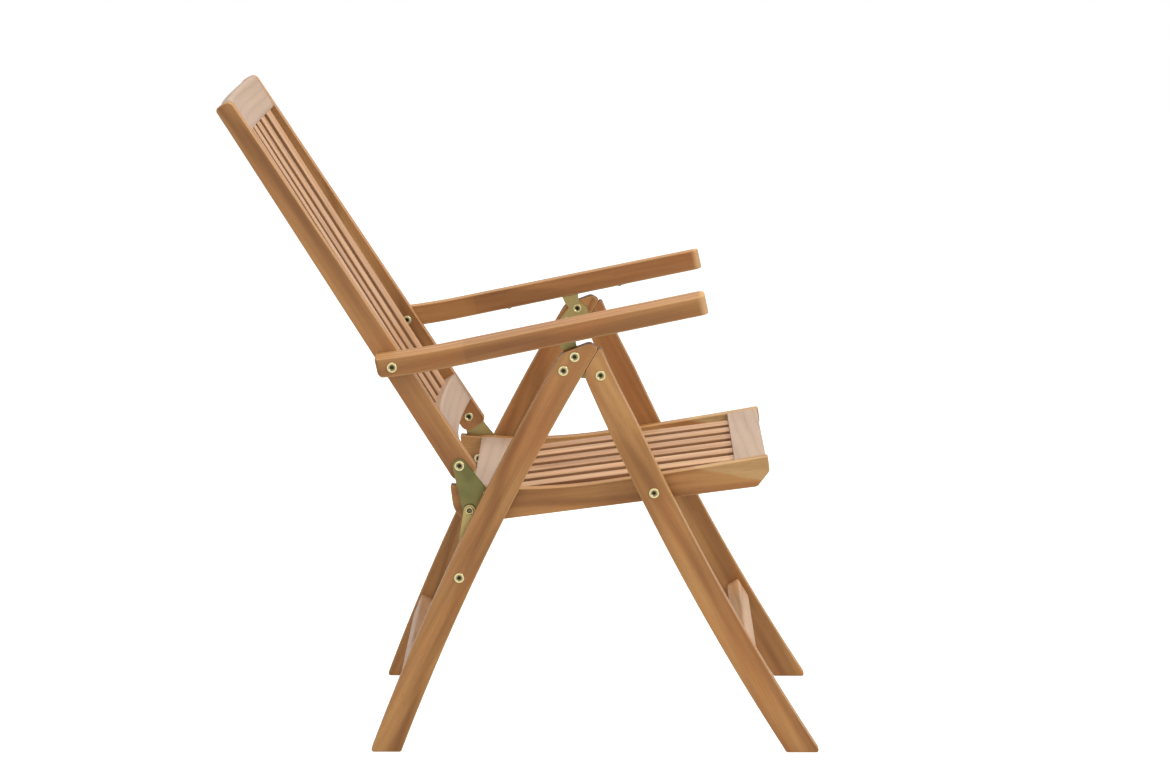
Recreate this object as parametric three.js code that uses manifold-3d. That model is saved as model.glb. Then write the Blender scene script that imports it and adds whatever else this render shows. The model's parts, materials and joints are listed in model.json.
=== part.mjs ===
// Folding teak armchair with a back that reclines in five steps.
// Millimetres. +X is forward, +Y is to the sitter's left, +Z is up, and the feet stand on Z = 0.
import * as THREE from 'three';
import { mergeVertices } from 'three/addons/utils/BufferGeometryUtils.js';
import Module from 'manifold-3d';

const wasm = await Module();
wasm.setup();

const degrees = THREE.MathUtils.degToRad;
const sides = [
  { name: 'right', sign: -1 },
  { name: 'left', sign: 1 },
];

// Fits
const fitGap = 0.3; // between faces that are glued, seated or bolted together
const turnGap = 0.5; // between faces that slide past each other as the chair folds
const boreClearance = 0.3; // round a bolt, on the radius
const cutOverrun = 6; // how far a cutter runs past the piece that it cuts

// Layers across the chair, from the centre plane outwards
const seatClearWidth = 414;
const railThickness = 22;
const legClearance = 12;
const legThickness = 24;
const plateThickness = 2.5;
const armClearance = 2.3;
const armWidth = 45;
const boltHeadHeight = 2;

const railInner = seatClearWidth / 2;
const railOuter = railInner + railThickness;
const plateInner = railOuter + fitGap;
const plateOuter = plateInner + plateThickness;
const pivotHeadTop = plateOuter + fitGap + boltHeadHeight;
const linkInner = pivotHeadTop + turnGap;
const linkOuter = linkInner + plateThickness;
const legInner = railOuter + legClearance;
const legOuter = legInner + legThickness;
const bracketOuter = legInner - fitGap;
const bracketInner = bracketOuter - plateThickness;
const armInner = railOuter + armClearance;
const armOuter = armInner + armWidth;

// Legs: both are cut to one curve, so that they nest edge to edge when the chair is folded.
// A place on a leg is given by its distance down from the leg pivot and out from the nesting edge.
const legPivotHeight = 592;
const legCurveRadius = 4000;
const legWidth = 45;
const legPivotInset = 23.8; // leg pivot to the nesting edges
const legNestGap = 0.6;
const rearLean = degrees(-30.3);
const frontLean = degrees(23.3);
const legArris = 2.5;
const footArris = 4;
const rearLegTop = 34.4; // above the leg pivot, along the leg
const rearLegNoseRadius = 5;
const rearLegRidge = 16; // where the splayed cut of the top begins, out from the nesting edge
const rearLegRidgeRadius = 10;
const rearLegShoulder = 1.4; // where the cut meets the outer edge, below the leg pivot
const rearLegShoulderRadius = 20;
const frontLegTop = 37;
const frontLegStop = 33.3; // where the face that stops against the rear leg ends, above the leg pivot
const frontLegTopRadius = 3;
const frontLegTaper = 4.5; // narrowing of the front leg towards its top
const frontLegTaperDown = 90; // where the narrowing begins, below the leg pivot
const legCurveSteps = 12;

// Bolt places on the legs: down from the leg pivot, and out from the nesting edge
const upperBoltDown = -4.7;
const upperBoltOut = 25;
const lowerBoltDown = 22.3;
const lowerBoltOut = 29;
const linkBoltDown = 381;
const linkBoltOut = 22.8;
const seatBoltDown = 201.5;
const seatBoltOut = -21.8;

// Stretchers: height up the leg from the foot to the lower edge, and inset from the leg's outer edge
const stretcherTenon = 12;
const rearStretcherUp = 113;
const rearStretcherHeight = 37;
const rearStretcherDepth = 20;
const rearStretcherInset = 3;
const frontStretcherUp = 168;
const frontStretcherHeight = 36;
const frontStretcherDepth = 22;
const frontStretcherInset = 9.5;
const tenonShoulder = 4;
const stretcherArris = 2;

// Bolts with a hexagon-socket head outside and a sleeve nut's flange inside
const boltHeadRadius = 8;
const boltSocketRadius = 3.2;
const boltSocketDepth = 1.4;
const boltShankRadius = 3.5;
const nutRadius = 7;
const nutHeight = 1.8;
const linkPinHeadRadius = 6;
const linkPinHeadHeight = 2;
const bushWall = 3;
const roundSegments = 12;
const boreSegments = 12;

// Linkage: the seat's rear end hangs on two links, and the legs fold until they nest
const linkLength = 101.3;
const linkLobe = 9.3;
const seatPivotToLinkPin = 285.9;
const linkPinLift = 4.1; // above the seat pivot, square to the rail

// Seat: lengths run along the side rail from the seat pivot, heights are above its lower edge
const seatPivotHeight = 17.7;
const seatRear = 310;
const seatFront = 181;
const seatRearHeight = 63.7;
const seatWaistHeight = 37.4;
const seatFrontHeight = 45.6;
const seatWaist = 90; // behind the seat pivot
const seatRearRadius = 36;
const seatNoseChamfer = 22;
const seatNoseRadius = 9;
const seatFrontPower = 1.5; // of the curve in front of the waist
const seatDishSteps = 14;
const seatFrontRailFront = 178;
const seatFrontRailDepth = 49;
const seatRearRailBehind = 217; // its front edge, behind the seat pivot
const seatRearRailDepth = 59;
const seatRailThickness = 24;
const seatSlatTop = 37.6;
const slatThickness = 12;
const slatWidth = 37;
const slatEdgeGap = 32.25; // between a side rail and the first slat
const slatCount = 6;
const slatTenon = 10;
const slatRadius = 2.5;
const railTenon = 11;
const seatArris = 2.5;

// Back hinge plate, on the seat rail
const backPivotBehind = 292.3; // the seat pivot, along the rail
const backPivotLift = 74.6; // above the seat pivot, square to the rail
const plateLobe = 11;
const plateCornerBehind = 258.5;
const plateCornerLift = 18.9;
const plateScrewBehind = 259;
const plateScrewLift = 26.6;
const plateScrewRadius = 3.4;
const plateScrewLength = 10;

// Back: lengths run up the stile from the back pivot, depths forward from the stile's rear edge
const backTilt = degrees(32.2);
const stilePivotDepth = 19.6;
const stileTop = 662;
const stileBottom = 20;
const stileBottomDepth = 40;
const stileTopDepth = 27.4;
const stileTopRadius = 9;
const stileHeelRadius = 13;
const stileToeRadius = 8;
const stileArris = 2.5;
const backTopRailLow = 600;
const backTopRailHeight = 62;
const backTopRailThickness = 22;
const backTopRailDepth = 27; // front face at the stiles, from the stile's rear edge
const backLowRailLow = 22;
const backLowRailHeight = 52;
const backLowRailThickness = 25;
const backLowRailDepth = 38.5;
const backHollow = 13; // how far the back's middle lies behind its ends
const backSlatDepth = 13; // front face of the slats at the middle, from the stile's rear edge
const backRailSteps = 12;
const backRailArris = 2.5;

// Armrest: lengths run along it from its bolt, heights are above its bolt
const armBoltUp = 189.6; // up the stile from the back pivot
const armBoltForward = 0.6;
const armSlope = degrees(11.8);
const armFront = 489;
const armRear = 24;
const armUnderside = -18.1;
const armRearUnderside = -14.6;
const armRearThickness = 33.2;
const armFrontThickness = 32;
const armBend = 90; // length over which the rear end rises
const armCrossfall = 3.4; // fall of the top face towards the outside
const armEndRadius = 6;
const armHeelRadius = 9; // of the lower corner of the rear end, in the side view
const armNoseFlat = 27; // left between the rounded corners of the front end
const armArris = 3;
const armSteps = 6;

// Notched channel in the underside of the armrest, and the T-shaped head that stands in it
const headReach = 268.7; // along the armrest from its bolt
const channelRear = 157.7;
const channelFront = 361;
const channelTab = 18;
const channelWall = 1.5;
const channelInnerWidth = 6;
const channelProud = 0.6;
const channelScrewRadius = 3.6;
const channelScrewHeight = 1.8;
const notchLength = 10;
const notchWidth = 3.6;
const reclineStep = degrees(5);
const reclineStepShares = [-2, -1, 0, 1, 2];
const armDrop = 2.5; // how far the armrest comes down when a notch takes the tongue
const armPathRise = 1.5; // how much nearer the head comes to the web at either end of the recline
const shoulderGap = 0.9; // left between the shoulders and the web when a notch takes the tongue
const headWidth = 27;
const headRise = 0.3; // shoulders of the head above the underside of the armrest
const tongueWidth = 7;
const neckWidth = 22;
const neckDrop = 12;
const bracketLobe = 11.5;
const bracketHollowRadius = 14;

// Colours
const teak = new THREE.MeshStandardMaterial({ color: 0xa8794f, roughness: 0.7 });
const deepTeak = new THREE.MeshStandardMaterial({ color: 0x96673f, roughness: 0.7 });
const paleTeak = new THREE.MeshStandardMaterial({ color: 0xcdb4a0, roughness: 0.75 });
const slatTeak = new THREE.MeshStandardMaterial({ color: 0xc49b72, roughness: 0.72 });
const zincPlate = new THREE.MeshStandardMaterial({ color: 0x8a7a45, roughness: 0.4, metalness: 0.8 });
const zincBolt = new THREE.MeshStandardMaterial({ color: 0xcbb980, roughness: 0.35, metalness: 0.85 });

// Solids

function toSolid(geometry) {
  const bare = geometry.clone();
  bare.deleteAttribute('normal');
  bare.deleteAttribute('uv');
  const merged = mergeVertices(bare);
  return new wasm.Manifold(new wasm.Mesh({
    numProp: 3,
    vertProperties: new Float32Array(merged.attributes.position.array),
    triVerts: new Uint32Array(merged.index.array),
  }));
}

function toGeometry(solid) {
  const mesh = solid.getMesh();
  const geometry = new THREE.BufferGeometry();
  geometry.setAttribute('position', new THREE.BufferAttribute(mesh.vertProperties, mesh.numProp));
  geometry.setIndex(new THREE.BufferAttribute(mesh.triVerts, 1));
  geometry.computeVertexNormals();
  return geometry;
}

function cut(geometry, cutters) {
  return toGeometry(cutters.reduce((solid, cutter) => solid.subtract(toSolid(cutter)), toSolid(geometry)));
}

function join(geometry, others) {
  return toGeometry(others.reduce((solid, other) => solid.add(toSolid(other)), toSolid(geometry)));
}

function common(geometry, other) {
  return toGeometry(toSolid(geometry).intersect(toSolid(other)));
}

// Outlines

// A closed outline through corners [point, radius], with an arc of that radius at each corner.
function filletedShape(corners) {
  const shape = new THREE.Shape();
  corners.forEach(([corner, radius], index) => {
    const before = corners[(index + corners.length - 1) % corners.length][0].clone().sub(corner);
    const after = corners[(index + 1) % corners.length][0].clone().sub(corner);
    const half = before.angleTo(after) / 2;
    const reach = Math.min(radius / Math.tan(half), before.length(), after.length());
    const start = corner.clone().addScaledVector(before.normalize(), reach);
    const end = corner.clone().addScaledVector(after.normalize(), reach);
    if (index === 0) {
      shape.moveTo(start.x, start.y);
    } else {
      shape.lineTo(start.x, start.y);
    }
    if (reach > 0) {
      const centre = corner.clone().addScaledVector(before.add(after).normalize(), reach / Math.cos(half));
      const from = start.sub(centre).angle();
      const to = end.clone().sub(centre).angle();
      const turn = THREE.MathUtils.euclideanModulo(to - from, Math.PI + Math.PI);
      shape.absarc(centre.x, centre.y, reach * Math.tan(half), from, to, turn > Math.PI);
    }
  });
  return shape;
}

// The outline of a plate that runs at one distance round a few points, given anticlockwise.
function lobedShape(points, lobe) {
  const shape = new THREE.Shape();
  points.forEach((point, index) => {
    const next = points[(index + 1) % points.length];
    const last = points[(index + points.length - 1) % points.length];
    const from = point.clone().sub(last).angle() - Math.PI / 2;
    const to = next.clone().sub(point).angle() - Math.PI / 2;
    shape.absarc(point.x, point.y, lobe, from, to, false);
  });
  return shape;
}

// Bodies made from outlines

function extruded(shape, length, arris, curveSegments) {
  return new THREE.ExtrudeGeometry(shape, {
    depth: length - arris - arris,
    bevelEnabled: arris > 0,
    bevelThickness: arris,
    bevelSize: arris,
    bevelOffset: -arris,
    bevelSegments: 1,
    curveSegments,
  });
}

// A board whose outline is drawn in the side view, between two distances from the centre plane.
function sideBoard(shape, low, high, arris = 0, curveSegments = 5) {
  const board = extruded(shape, high - low, arris, curveSegments);
  board.rotateX(Math.PI / 2);
  board.translate(0, high - arris, 0);
  return board;
}

// The same board on either side of the chair.
function mirroredBoard(side, shape, inner, outer, arris, curveSegments) {
  const low = side.sign > 0 ? inner : -outer;
  const high = side.sign > 0 ? outer : -inner;
  return sideBoard(shape, low, high, arris, curveSegments);
}

// A round cutter along Y at a place of the side view.
function bore(place, radius, side, inner, outer) {
  const length = outer - inner + cutOverrun + cutOverrun;
  const cylinder = new THREE.CylinderGeometry(radius, radius, length, boreSegments);
  cylinder.translate(place.x, side.sign * (inner + outer) / 2, place.y);
  return cylinder;
}

function boltBore(place, side, inner, outer) {
  return bore(place, boltShankRadius + boreClearance, side, inner, outer);
}

function rectangle(low, high) {
  return [
    new THREE.Vector2(low.x, low.y),
    new THREE.Vector2(high.x, low.y),
    new THREE.Vector2(high.x, high.y),
    new THREE.Vector2(low.x, high.y),
  ];
}

function plainCorners(points) {
  return points.map((point) => [point, 0]);
}

function piece(name, geometry, material) {
  const mesh = new THREE.Mesh(geometry, material);
  mesh.name = name;
  return mesh;
}

// A turned piece along Y, from its profile of [radius, distance from the centre plane].
function turned(name, profile, place, side, material) {
  const points = profile.map(([radius, distance]) => new THREE.Vector2(radius, distance));
  const mesh = piece(name, new THREE.LatheGeometry(points, roundSegments), material);
  mesh.position.set(place.x, 0, place.y);
  mesh.rotation.z = side.sign > 0 ? 0 : Math.PI;
  return mesh;
}

// Legs

function legPoint(lean, down, out) {
  const hub = legCurveRadius - legPivotInset;
  const reach = legCurveRadius + out;
  const turn = lean + down / legCurveRadius;
  return new THREE.Vector2(
    hub * Math.cos(lean) - reach * Math.cos(turn),
    legPivotHeight + hub * Math.sin(lean) - reach * Math.sin(turn),
  );
}

// How far down the leg the floor is, at a distance out from the nesting edge.
function footDown(lean, out) {
  const rise = legPivotHeight + (legCurveRadius - legPivotInset) * Math.sin(lean);
  return (Math.asin(rise / (legCurveRadius + out)) - lean) * legCurveRadius;
}

// One edge of a leg from top to foot, with a taper near the top.
function legEdge(lean, out, top, taper) {
  const bottom = footDown(lean, out);
  const points = [];
  for (let step = 0; step <= legCurveSteps; step += 1) {
    const down = THREE.MathUtils.lerp(-top, bottom, step / legCurveSteps);
    const share = THREE.MathUtils.clamp((frontLegTaperDown - down) / frontLegTaperDown, 0, 1);
    points.push(legPoint(lean, down, out + taper * share));
  }
  return plainCorners(points);
}

// A rectangle square to the leg, from a distance down and out, as corners of the side view.
function legBlock(lean, down, out, height, depth) {
  const centre = legPoint(lean, down + height / 2, out + depth / 2);
  const turn = lean + (down + height / 2) / legCurveRadius;
  const half = new THREE.Vector2(depth / 2, height / 2);
  const corners = rectangle(half.clone().negate(), half);
  const origin = new THREE.Vector2();
  return corners.map((corner) => corner.rotateAround(origin, turn).add(centre));
}

const legPivot = new THREE.Vector2(0, legPivotHeight);
const upperBolt = legPoint(rearLean, upperBoltDown, upperBoltOut);
const lowerBolt = legPoint(rearLean, lowerBoltDown, lowerBoltOut);
const linkBolt = legPoint(rearLean, linkBoltDown, linkBoltOut);
const seatBolt = legPoint(frontLean, seatBoltDown, seatBoltOut);

// The stretcher's section and its tenon, from the sizes of one stretcher on one leg.
function stretcherBlocks(lean, outerEdge, stretcher) {
  const inward = Math.sign(-outerEdge);
  const down = footDown(lean, outerEdge) - stretcher.up - stretcher.height;
  const nearEdge = outerEdge + inward * stretcher.inset;
  const out = Math.min(nearEdge, nearEdge + inward * stretcher.depth);
  const shoulder = tenonShoulder;
  return {
    section: legBlock(lean, down, out, stretcher.height, stretcher.depth),
    tenon: legBlock(lean, down + shoulder, out + shoulder, stretcher.height - shoulder - shoulder,
      stretcher.depth - shoulder - shoulder),
    mortise: legBlock(lean, down + shoulder - fitGap, out + shoulder - fitGap,
      stretcher.height - shoulder - shoulder + fitGap + fitGap,
      stretcher.depth - shoulder - shoulder + fitGap + fitGap),
  };
}

const rearBlocks = stretcherBlocks(rearLean, legWidth, {
  up: rearStretcherUp,
  height: rearStretcherHeight,
  depth: rearStretcherDepth,
  inset: rearStretcherInset,
});
const frontBlocks = stretcherBlocks(frontLean, -legWidth, {
  up: frontStretcherUp,
  height: frontStretcherHeight,
  depth: frontStretcherDepth,
  inset: frontStretcherInset,
});

function makeStretcher(name, blocks) {
  const shoulder = legInner - fitGap;
  const end = legInner + stretcherTenon;
  const body = sideBoard(filletedShape(plainCorners(blocks.section)), -shoulder, shoulder, stretcherArris);
  const tenon = sideBoard(filletedShape(plainCorners(blocks.tenon)), -end, end);
  return piece(name, join(body, [tenon]), paleTeak);
}

function mortise(blocks, side) {
  const depth = legInner + stretcherTenon + fitGap;
  return mirroredBoard(side, filletedShape(plainCorners(blocks.mortise)), legInner - cutOverrun, depth);
}

// The rear leg's outline: its top is square beside the nesting edge and then cut down to the outer edge.
function rearLegShape() {
  const nest = legEdge(rearLean, legNestGap / 2, rearLegTop, 0);
  const outer = legEdge(rearLean, legWidth, -rearLegShoulder, 0);
  const ridge = legPoint(rearLean, -rearLegTop, rearLegRidge);
  nest[0][1] = rearLegNoseRadius;
  outer[0][1] = rearLegShoulderRadius;
  nest[legCurveSteps][1] = footArris;
  outer[legCurveSteps][1] = footArris;
  return filletedShape([...outer, ...nest.reverse(), [ridge, rearLegRidgeRadius]]);
}

function makeRearLeg(side) {
  const board = mirroredBoard(side, rearLegShape(), legInner, legOuter, legArris);
  const bores = [upperBolt, lowerBolt, linkBolt].map((place) => boltBore(place, side, legInner, legOuter));
  return piece(`rear_leg_${side.name}`, cut(board, [...bores, mortise(rearBlocks, side)]), teak);
}

// The front leg's outline: its top is cut back to stop against the rear leg when the chair is open,
// and the heel below that cut is rounded about the leg pivot so that it turns clear of the rear leg.
function frontLegShape() {
  const heelRadius = legPivotInset - legNestGap / 2;
  const heel = heelRadius * Math.tan((frontLean - rearLean) / 2);
  const apex = legPoint(rearLean, -frontLegStop, legNestGap / 2 - fitGap);
  const outer = legEdge(frontLean, -legWidth, frontLegTop, frontLegTaper);
  const nest = legEdge(frontLean, -legNestGap / 2, -heel - heel, 0);
  outer[0][1] = frontLegTopRadius;
  outer[legCurveSteps][1] = footArris;
  nest[legCurveSteps][1] = footArris;
  const corner = legPoint(frontLean, -heel, -legNestGap / 2);
  return filletedShape([...outer, ...nest.reverse(), [corner, heelRadius], [apex, frontLegTopRadius]]);
}

function makeFrontLeg(side) {
  const board = mirroredBoard(side, frontLegShape(), legInner, legOuter, legArris);
  const bores = [legPivot, seatBolt].map((place) => boltBore(place, side, legInner, legOuter));
  return piece(`front_leg_${side.name}`, cut(board, [...bores, mortise(frontBlocks, side)]), teak);
}

// Bolts: profiles run from the inner end to the head

function boltProfile(innerFace, outerFace, headRadius = boltHeadRadius) {
  return [
    [0, innerFace - nutHeight],
    [nutRadius, innerFace - nutHeight],
    [nutRadius, innerFace - fitGap],
    [boltShankRadius, innerFace - fitGap],
    [boltShankRadius, outerFace + fitGap],
    [headRadius, outerFace + fitGap],
    [headRadius, outerFace + boltHeadHeight / 2],
    [headRadius - boltHeadHeight / 2, outerFace + boltHeadHeight],
    [boltSocketRadius + boltHeadHeight / 2, outerFace + boltHeadHeight],
    [boltSocketRadius, outerFace + boltHeadHeight - boltHeadHeight / 4],
    [boltSocketRadius, outerFace + boltHeadHeight - boltSocketDepth],
    [0, outerFace + boltHeadHeight - boltSocketDepth],
  ];
}

function tubeProfile(inner, outer, hole, radius) {
  return [
    [hole, inner],
    [radius, inner],
    [radius, outer],
    [hole, outer],
    [hole, inner],
  ];
}

// Linkage

// The meeting point of two circles that lies to the right of the way from the first to the second.
function circlesMeet(first, firstRadius, second, secondRadius) {
  const way = second.clone().sub(first);
  const along = (firstRadius ** 2 - secondRadius ** 2 + way.lengthSq()) / (way.length() + way.length());
  const across = Math.sqrt(firstRadius ** 2 - along ** 2);
  way.normalize();
  return new THREE.Vector2(
    first.x + way.x * along + way.y * across,
    first.y + way.y * along - way.x * across,
  );
}

const linkPin = circlesMeet(seatBolt, seatPivotToLinkPin, linkBolt, linkLength);
const linkPinBehind = Math.sqrt(seatPivotToLinkPin ** 2 - linkPinLift ** 2);
const seatSlope = seatBolt.clone().sub(linkPin).angle() + Math.asin(linkPinLift / seatPivotToLinkPin);

const ownOrigin = new THREE.Vector2(); // of a tilted body's own side view
const linkPinOnSeat = new THREE.Vector2(-linkPinBehind, linkPinLift);
const backPivotOnSeat = new THREE.Vector2(-backPivotBehind, backPivotLift);
const plateCorner = new THREE.Vector2(-plateCornerBehind, plateCornerLift);
const plateScrew = new THREE.Vector2(-plateScrewBehind, plateScrewLift);
const armBoltOnBack = new THREE.Vector2(armBoltForward, armBoltUp);

// A place of a tilted body's own side view, seen in the chair's side view.
function toWorld(origin, slope, place) {
  return place.clone().rotateAround(ownOrigin, slope).add(origin);
}

// A group that holds the pieces of a tilted body.
function frameAt(origin, slope) {
  const group = new THREE.Group();
  group.position.set(origin.x, 0, origin.y);
  group.rotation.y = -slope;
  return group;
}

const backPivot = toWorld(seatBolt, seatSlope, backPivotOnSeat);
const armBolt = toWorld(backPivot, backTilt, armBoltOnBack);
const headCentre = toWorld(armBolt, armSlope, new THREE.Vector2(headReach, armUnderside + headRise));

// Seat, in the frame of the side rail: X runs forward along it and Z square to it

const seatFloor = -seatPivotHeight;
const seatFrontRail = { front: seatFrontRailFront, depth: seatFrontRailDepth };
const seatRearRail = { front: -seatRearRailBehind, depth: seatRearRailDepth };
const slatPitch = (seatClearWidth - slatWidth - slatEdgeGap - slatEdgeGap) / (slatCount - 1);

function dishHeight(forward) {
  const behind = -seatWaist - forward;
  if (behind > 0) {
    const rearRise = seatRearHeight - seatWaistHeight;
    return seatFloor + seatWaistHeight + rearRise * (behind / (seatRear - seatWaist)) ** 2;
  }
  const rise = seatFrontHeight - seatWaistHeight;
  return seatFloor + seatWaistHeight + rise * (-behind / (seatFront + seatWaist)) ** seatFrontPower;
}

function dishedEdge(rear, front, drop) {
  const points = [];
  for (let step = 0; step <= seatDishSteps; step += 1) {
    const forward = rear + (front - rear) * step / seatDishSteps;
    points.push(new THREE.Vector2(forward, dishHeight(forward) - drop));
  }
  return points;
}

function seatRailShape() {
  const top = plainCorners(dishedEdge(-seatRear, seatFront, 0).reverse());
  const nose = new THREE.Vector2(seatFront, seatFloor + seatNoseChamfer);
  const chin = new THREE.Vector2(seatFront - seatNoseChamfer, seatFloor);
  const heel = new THREE.Vector2(-seatRear, seatFloor);
  return filletedShape([...top, [heel, seatRearRadius], [chin, seatNoseRadius], [nose, seatNoseRadius]]);
}

// A cross rail's outline in the side view: its top follows the dished side rails.
function crossRailShape(rail, inset) {
  const rear = rail.front - rail.depth + inset;
  const front = rail.front - inset;
  const top = [front, rear].map((forward) => new THREE.Vector2(forward, dishHeight(forward) - inset));
  const foot = dishHeight(rail.front - rail.depth / 2) - seatRailThickness + inset;
  return filletedShape(plainCorners([...top, new THREE.Vector2(rear, foot), new THREE.Vector2(front, foot)]));
}

function slatPlace(index) {
  return (index - (slatCount - 1) / 2) * slatPitch;
}

// A slat's section, width along Y, with rounded arrises.
function slatSection(grow) {
  const half = new THREE.Vector2(slatWidth / 2 + grow, slatThickness / 2 + grow);
  return rectangle(half.clone().negate(), half).map((corner) => [corner, slatRadius]);
}

function seatSlatBar(index, grow) {
  const rear = seatRearRail.front - slatTenon - grow;
  const front = seatFrontRail.front - seatFrontRail.depth + slatTenon + grow;
  const bar = extruded(filletedShape(slatSection(grow)), front - rear, 0, 2);
  const basis = new THREE.Matrix4().makeBasis(
    new THREE.Vector3(0, 1, 0),
    new THREE.Vector3(0, 0, 1),
    new THREE.Vector3(1, 0, 0),
  );
  bar.applyMatrix4(basis);
  bar.translate(rear, slatPlace(index), seatFloor + seatSlatTop - slatThickness / 2);
  return bar;
}

function makeCrossRail(name, rail) {
  const shoulder = railInner - fitGap;
  const end = railInner + railTenon;
  const body = sideBoard(crossRailShape(rail, 0), -shoulder, shoulder, seatArris);
  const tenon = sideBoard(crossRailShape(rail, tenonShoulder), -end, end);
  const pockets = [];
  for (let index = 0; index < slatCount; index += 1) {
    pockets.push(seatSlatBar(index, fitGap));
  }
  return piece(name, cut(join(body, [tenon]), pockets), paleTeak);
}

function makeSeatRail(side) {
  const board = mirroredBoard(side, seatRailShape(), railInner, railOuter, seatArris, 6);
  const bores = [ownOrigin, linkPinOnSeat].map((place) => boltBore(place, side, railInner, railOuter));
  bores.push(bore(plateScrew, plateScrewRadius / 2 + boreClearance, side, railOuter - plateScrewLength, railOuter));
  const pockets = [seatFrontRail, seatRearRail].map((rail) => mirroredBoard(
    side,
    crossRailShape(rail, tenonShoulder - fitGap),
    railInner - cutOverrun,
    railInner + railTenon + fitGap,
  ));
  return piece(`seat_rail_${side.name}`, cut(board, [...bores, ...pockets]), deepTeak);
}

// The sleeve that takes the link's pin: a nut inside the rail, and a collar that holds the link clear.
function sleeveProfile() {
  return [
    [0, railInner - nutHeight],
    [nutRadius, railInner - nutHeight],
    [nutRadius, railInner - fitGap],
    [boltShankRadius, railInner - fitGap],
    [boltShankRadius, plateOuter + fitGap],
    [linkPinHeadRadius, plateOuter + fitGap],
    [linkPinHeadRadius, pivotHeadTop],
    [0, pivotHeadTop],
  ];
}

// A countersunk screw: its point is in the rail and its head fills the plate's hole.
function plateScrewProfile() {
  return [
    [0, railOuter - plateScrewLength],
    [plateScrewRadius / 2, railOuter - plateScrewLength],
    [plateScrewRadius / 2, railOuter],
    [plateScrewRadius, plateInner],
    [plateScrewRadius, plateOuter],
    [0, plateOuter],
  ];
}

function makeHingePlate(side) {
  const shape = lobedShape([linkPinOnSeat, plateCorner, backPivotOnSeat], plateLobe);
  const plate = mirroredBoard(side, shape, plateInner, plateOuter);
  const holes = [linkPinOnSeat, backPivotOnSeat].map((place) => boltBore(place, side, plateInner, plateOuter));
  const screwHole = bore(plateScrew, plateScrewRadius + boreClearance, side, plateInner, plateOuter);
  return piece(`back_hinge_plate_${side.name}`, cut(plate, [...holes, screwHole]), zincPlate);
}

function makeSeat() {
  const seat = frameAt(seatBolt, seatSlope);
  for (const side of sides) {
    seat.add(makeSeatRail(side));
    seat.add(makeHingePlate(side));
    seat.add(turned(`hinge_plate_screw_${side.name}`, plateScrewProfile(), plateScrew, side, zincBolt));
    seat.add(turned(`link_pin_sleeve_${side.name}`, sleeveProfile(), linkPinOnSeat, side, zincBolt));
  }
  seat.add(makeCrossRail('seat_front_rail', seatFrontRail));
  seat.add(makeCrossRail('seat_rear_rail', seatRearRail));
  for (let index = 0; index < slatCount; index += 1) {
    seat.add(piece(`seat_slat_${index + 1}`, seatSlatBar(index, 0), slatTeak));
  }
  return seat;
}

// Back, in the frame of the stile: X runs forward from the pivot and Z up along the stile

const stileRear = -stilePivotDepth;
const backTopRail = {
  low: backTopRailLow,
  height: backTopRailHeight,
  thickness: backTopRailThickness,
  frontDepth: backTopRailDepth,
};
const backLowRail = {
  low: backLowRailLow,
  height: backLowRailHeight,
  thickness: backLowRailThickness,
  frontDepth: backLowRailDepth,
};

function stileDepth(up) {
  return THREE.MathUtils.lerp(stileBottomDepth, stileTopDepth, up / stileTop);
}

function stileShape() {
  return filletedShape([
    [new THREE.Vector2(stileRear, -stileBottom), stileHeelRadius],
    [new THREE.Vector2(stileRear + stileDepth(-stileBottom), -stileBottom), stileToeRadius],
    [new THREE.Vector2(stileRear + stileDepth(stileTop), stileTop), stileTopRadius],
    [new THREE.Vector2(stileRear, stileTop), stileTopRadius],
  ]);
}

// How far the curve of the back has come forward from its middle, at a distance across.
function backCurve(across) {
  return backHollow * (across / railInner) ** 2;
}

function backRailShape(rail, end, inset) {
  const front = [];
  const rear = [];
  for (let step = 0; step <= backRailSteps; step += 1) {
    const across = THREE.MathUtils.lerp(-end, end, step / backRailSteps);
    const face = stileRear + rail.frontDepth - backHollow + backCurve(Math.min(Math.abs(across), railInner));
    front.push(new THREE.Vector2(face - inset, across));
    rear.push(new THREE.Vector2(face - rail.thickness + inset, across));
  }
  return filletedShape(plainCorners([...front, ...rear.reverse()]));
}

function backSlatBar(index, grow) {
  const low = backLowRail.low + backLowRail.height - slatTenon - grow;
  const high = backTopRail.low + slatTenon + grow;
  const across = slatPlace(index);
  const section = slatSection(grow).map(([corner, radius]) => [new THREE.Vector2(corner.y, corner.x), radius]);
  const bar = extruded(filletedShape(section.reverse()), high - low, 0, 2);
  bar.rotateZ(-Math.atan2(backCurve(across) + backCurve(across), across || railInner));
  bar.translate(stileRear + backSlatDepth + backCurve(across) - slatThickness / 2, across, low);
  return bar;
}

function makeBackRail(name, rail) {
  const body = extruded(backRailShape(rail, railInner - fitGap, 0), rail.height, backRailArris, 1);
  body.translate(0, 0, rail.low + backRailArris);
  const tenon = extruded(backRailShape(rail, railInner + railTenon, tenonShoulder),
    rail.height - tenonShoulder - tenonShoulder, 0, 1);
  tenon.translate(0, 0, rail.low + tenonShoulder);
  const pockets = [];
  for (let index = 0; index < slatCount; index += 1) {
    pockets.push(backSlatBar(index, fitGap));
  }
  return piece(name, cut(join(body, [tenon]), pockets), paleTeak);
}

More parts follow.
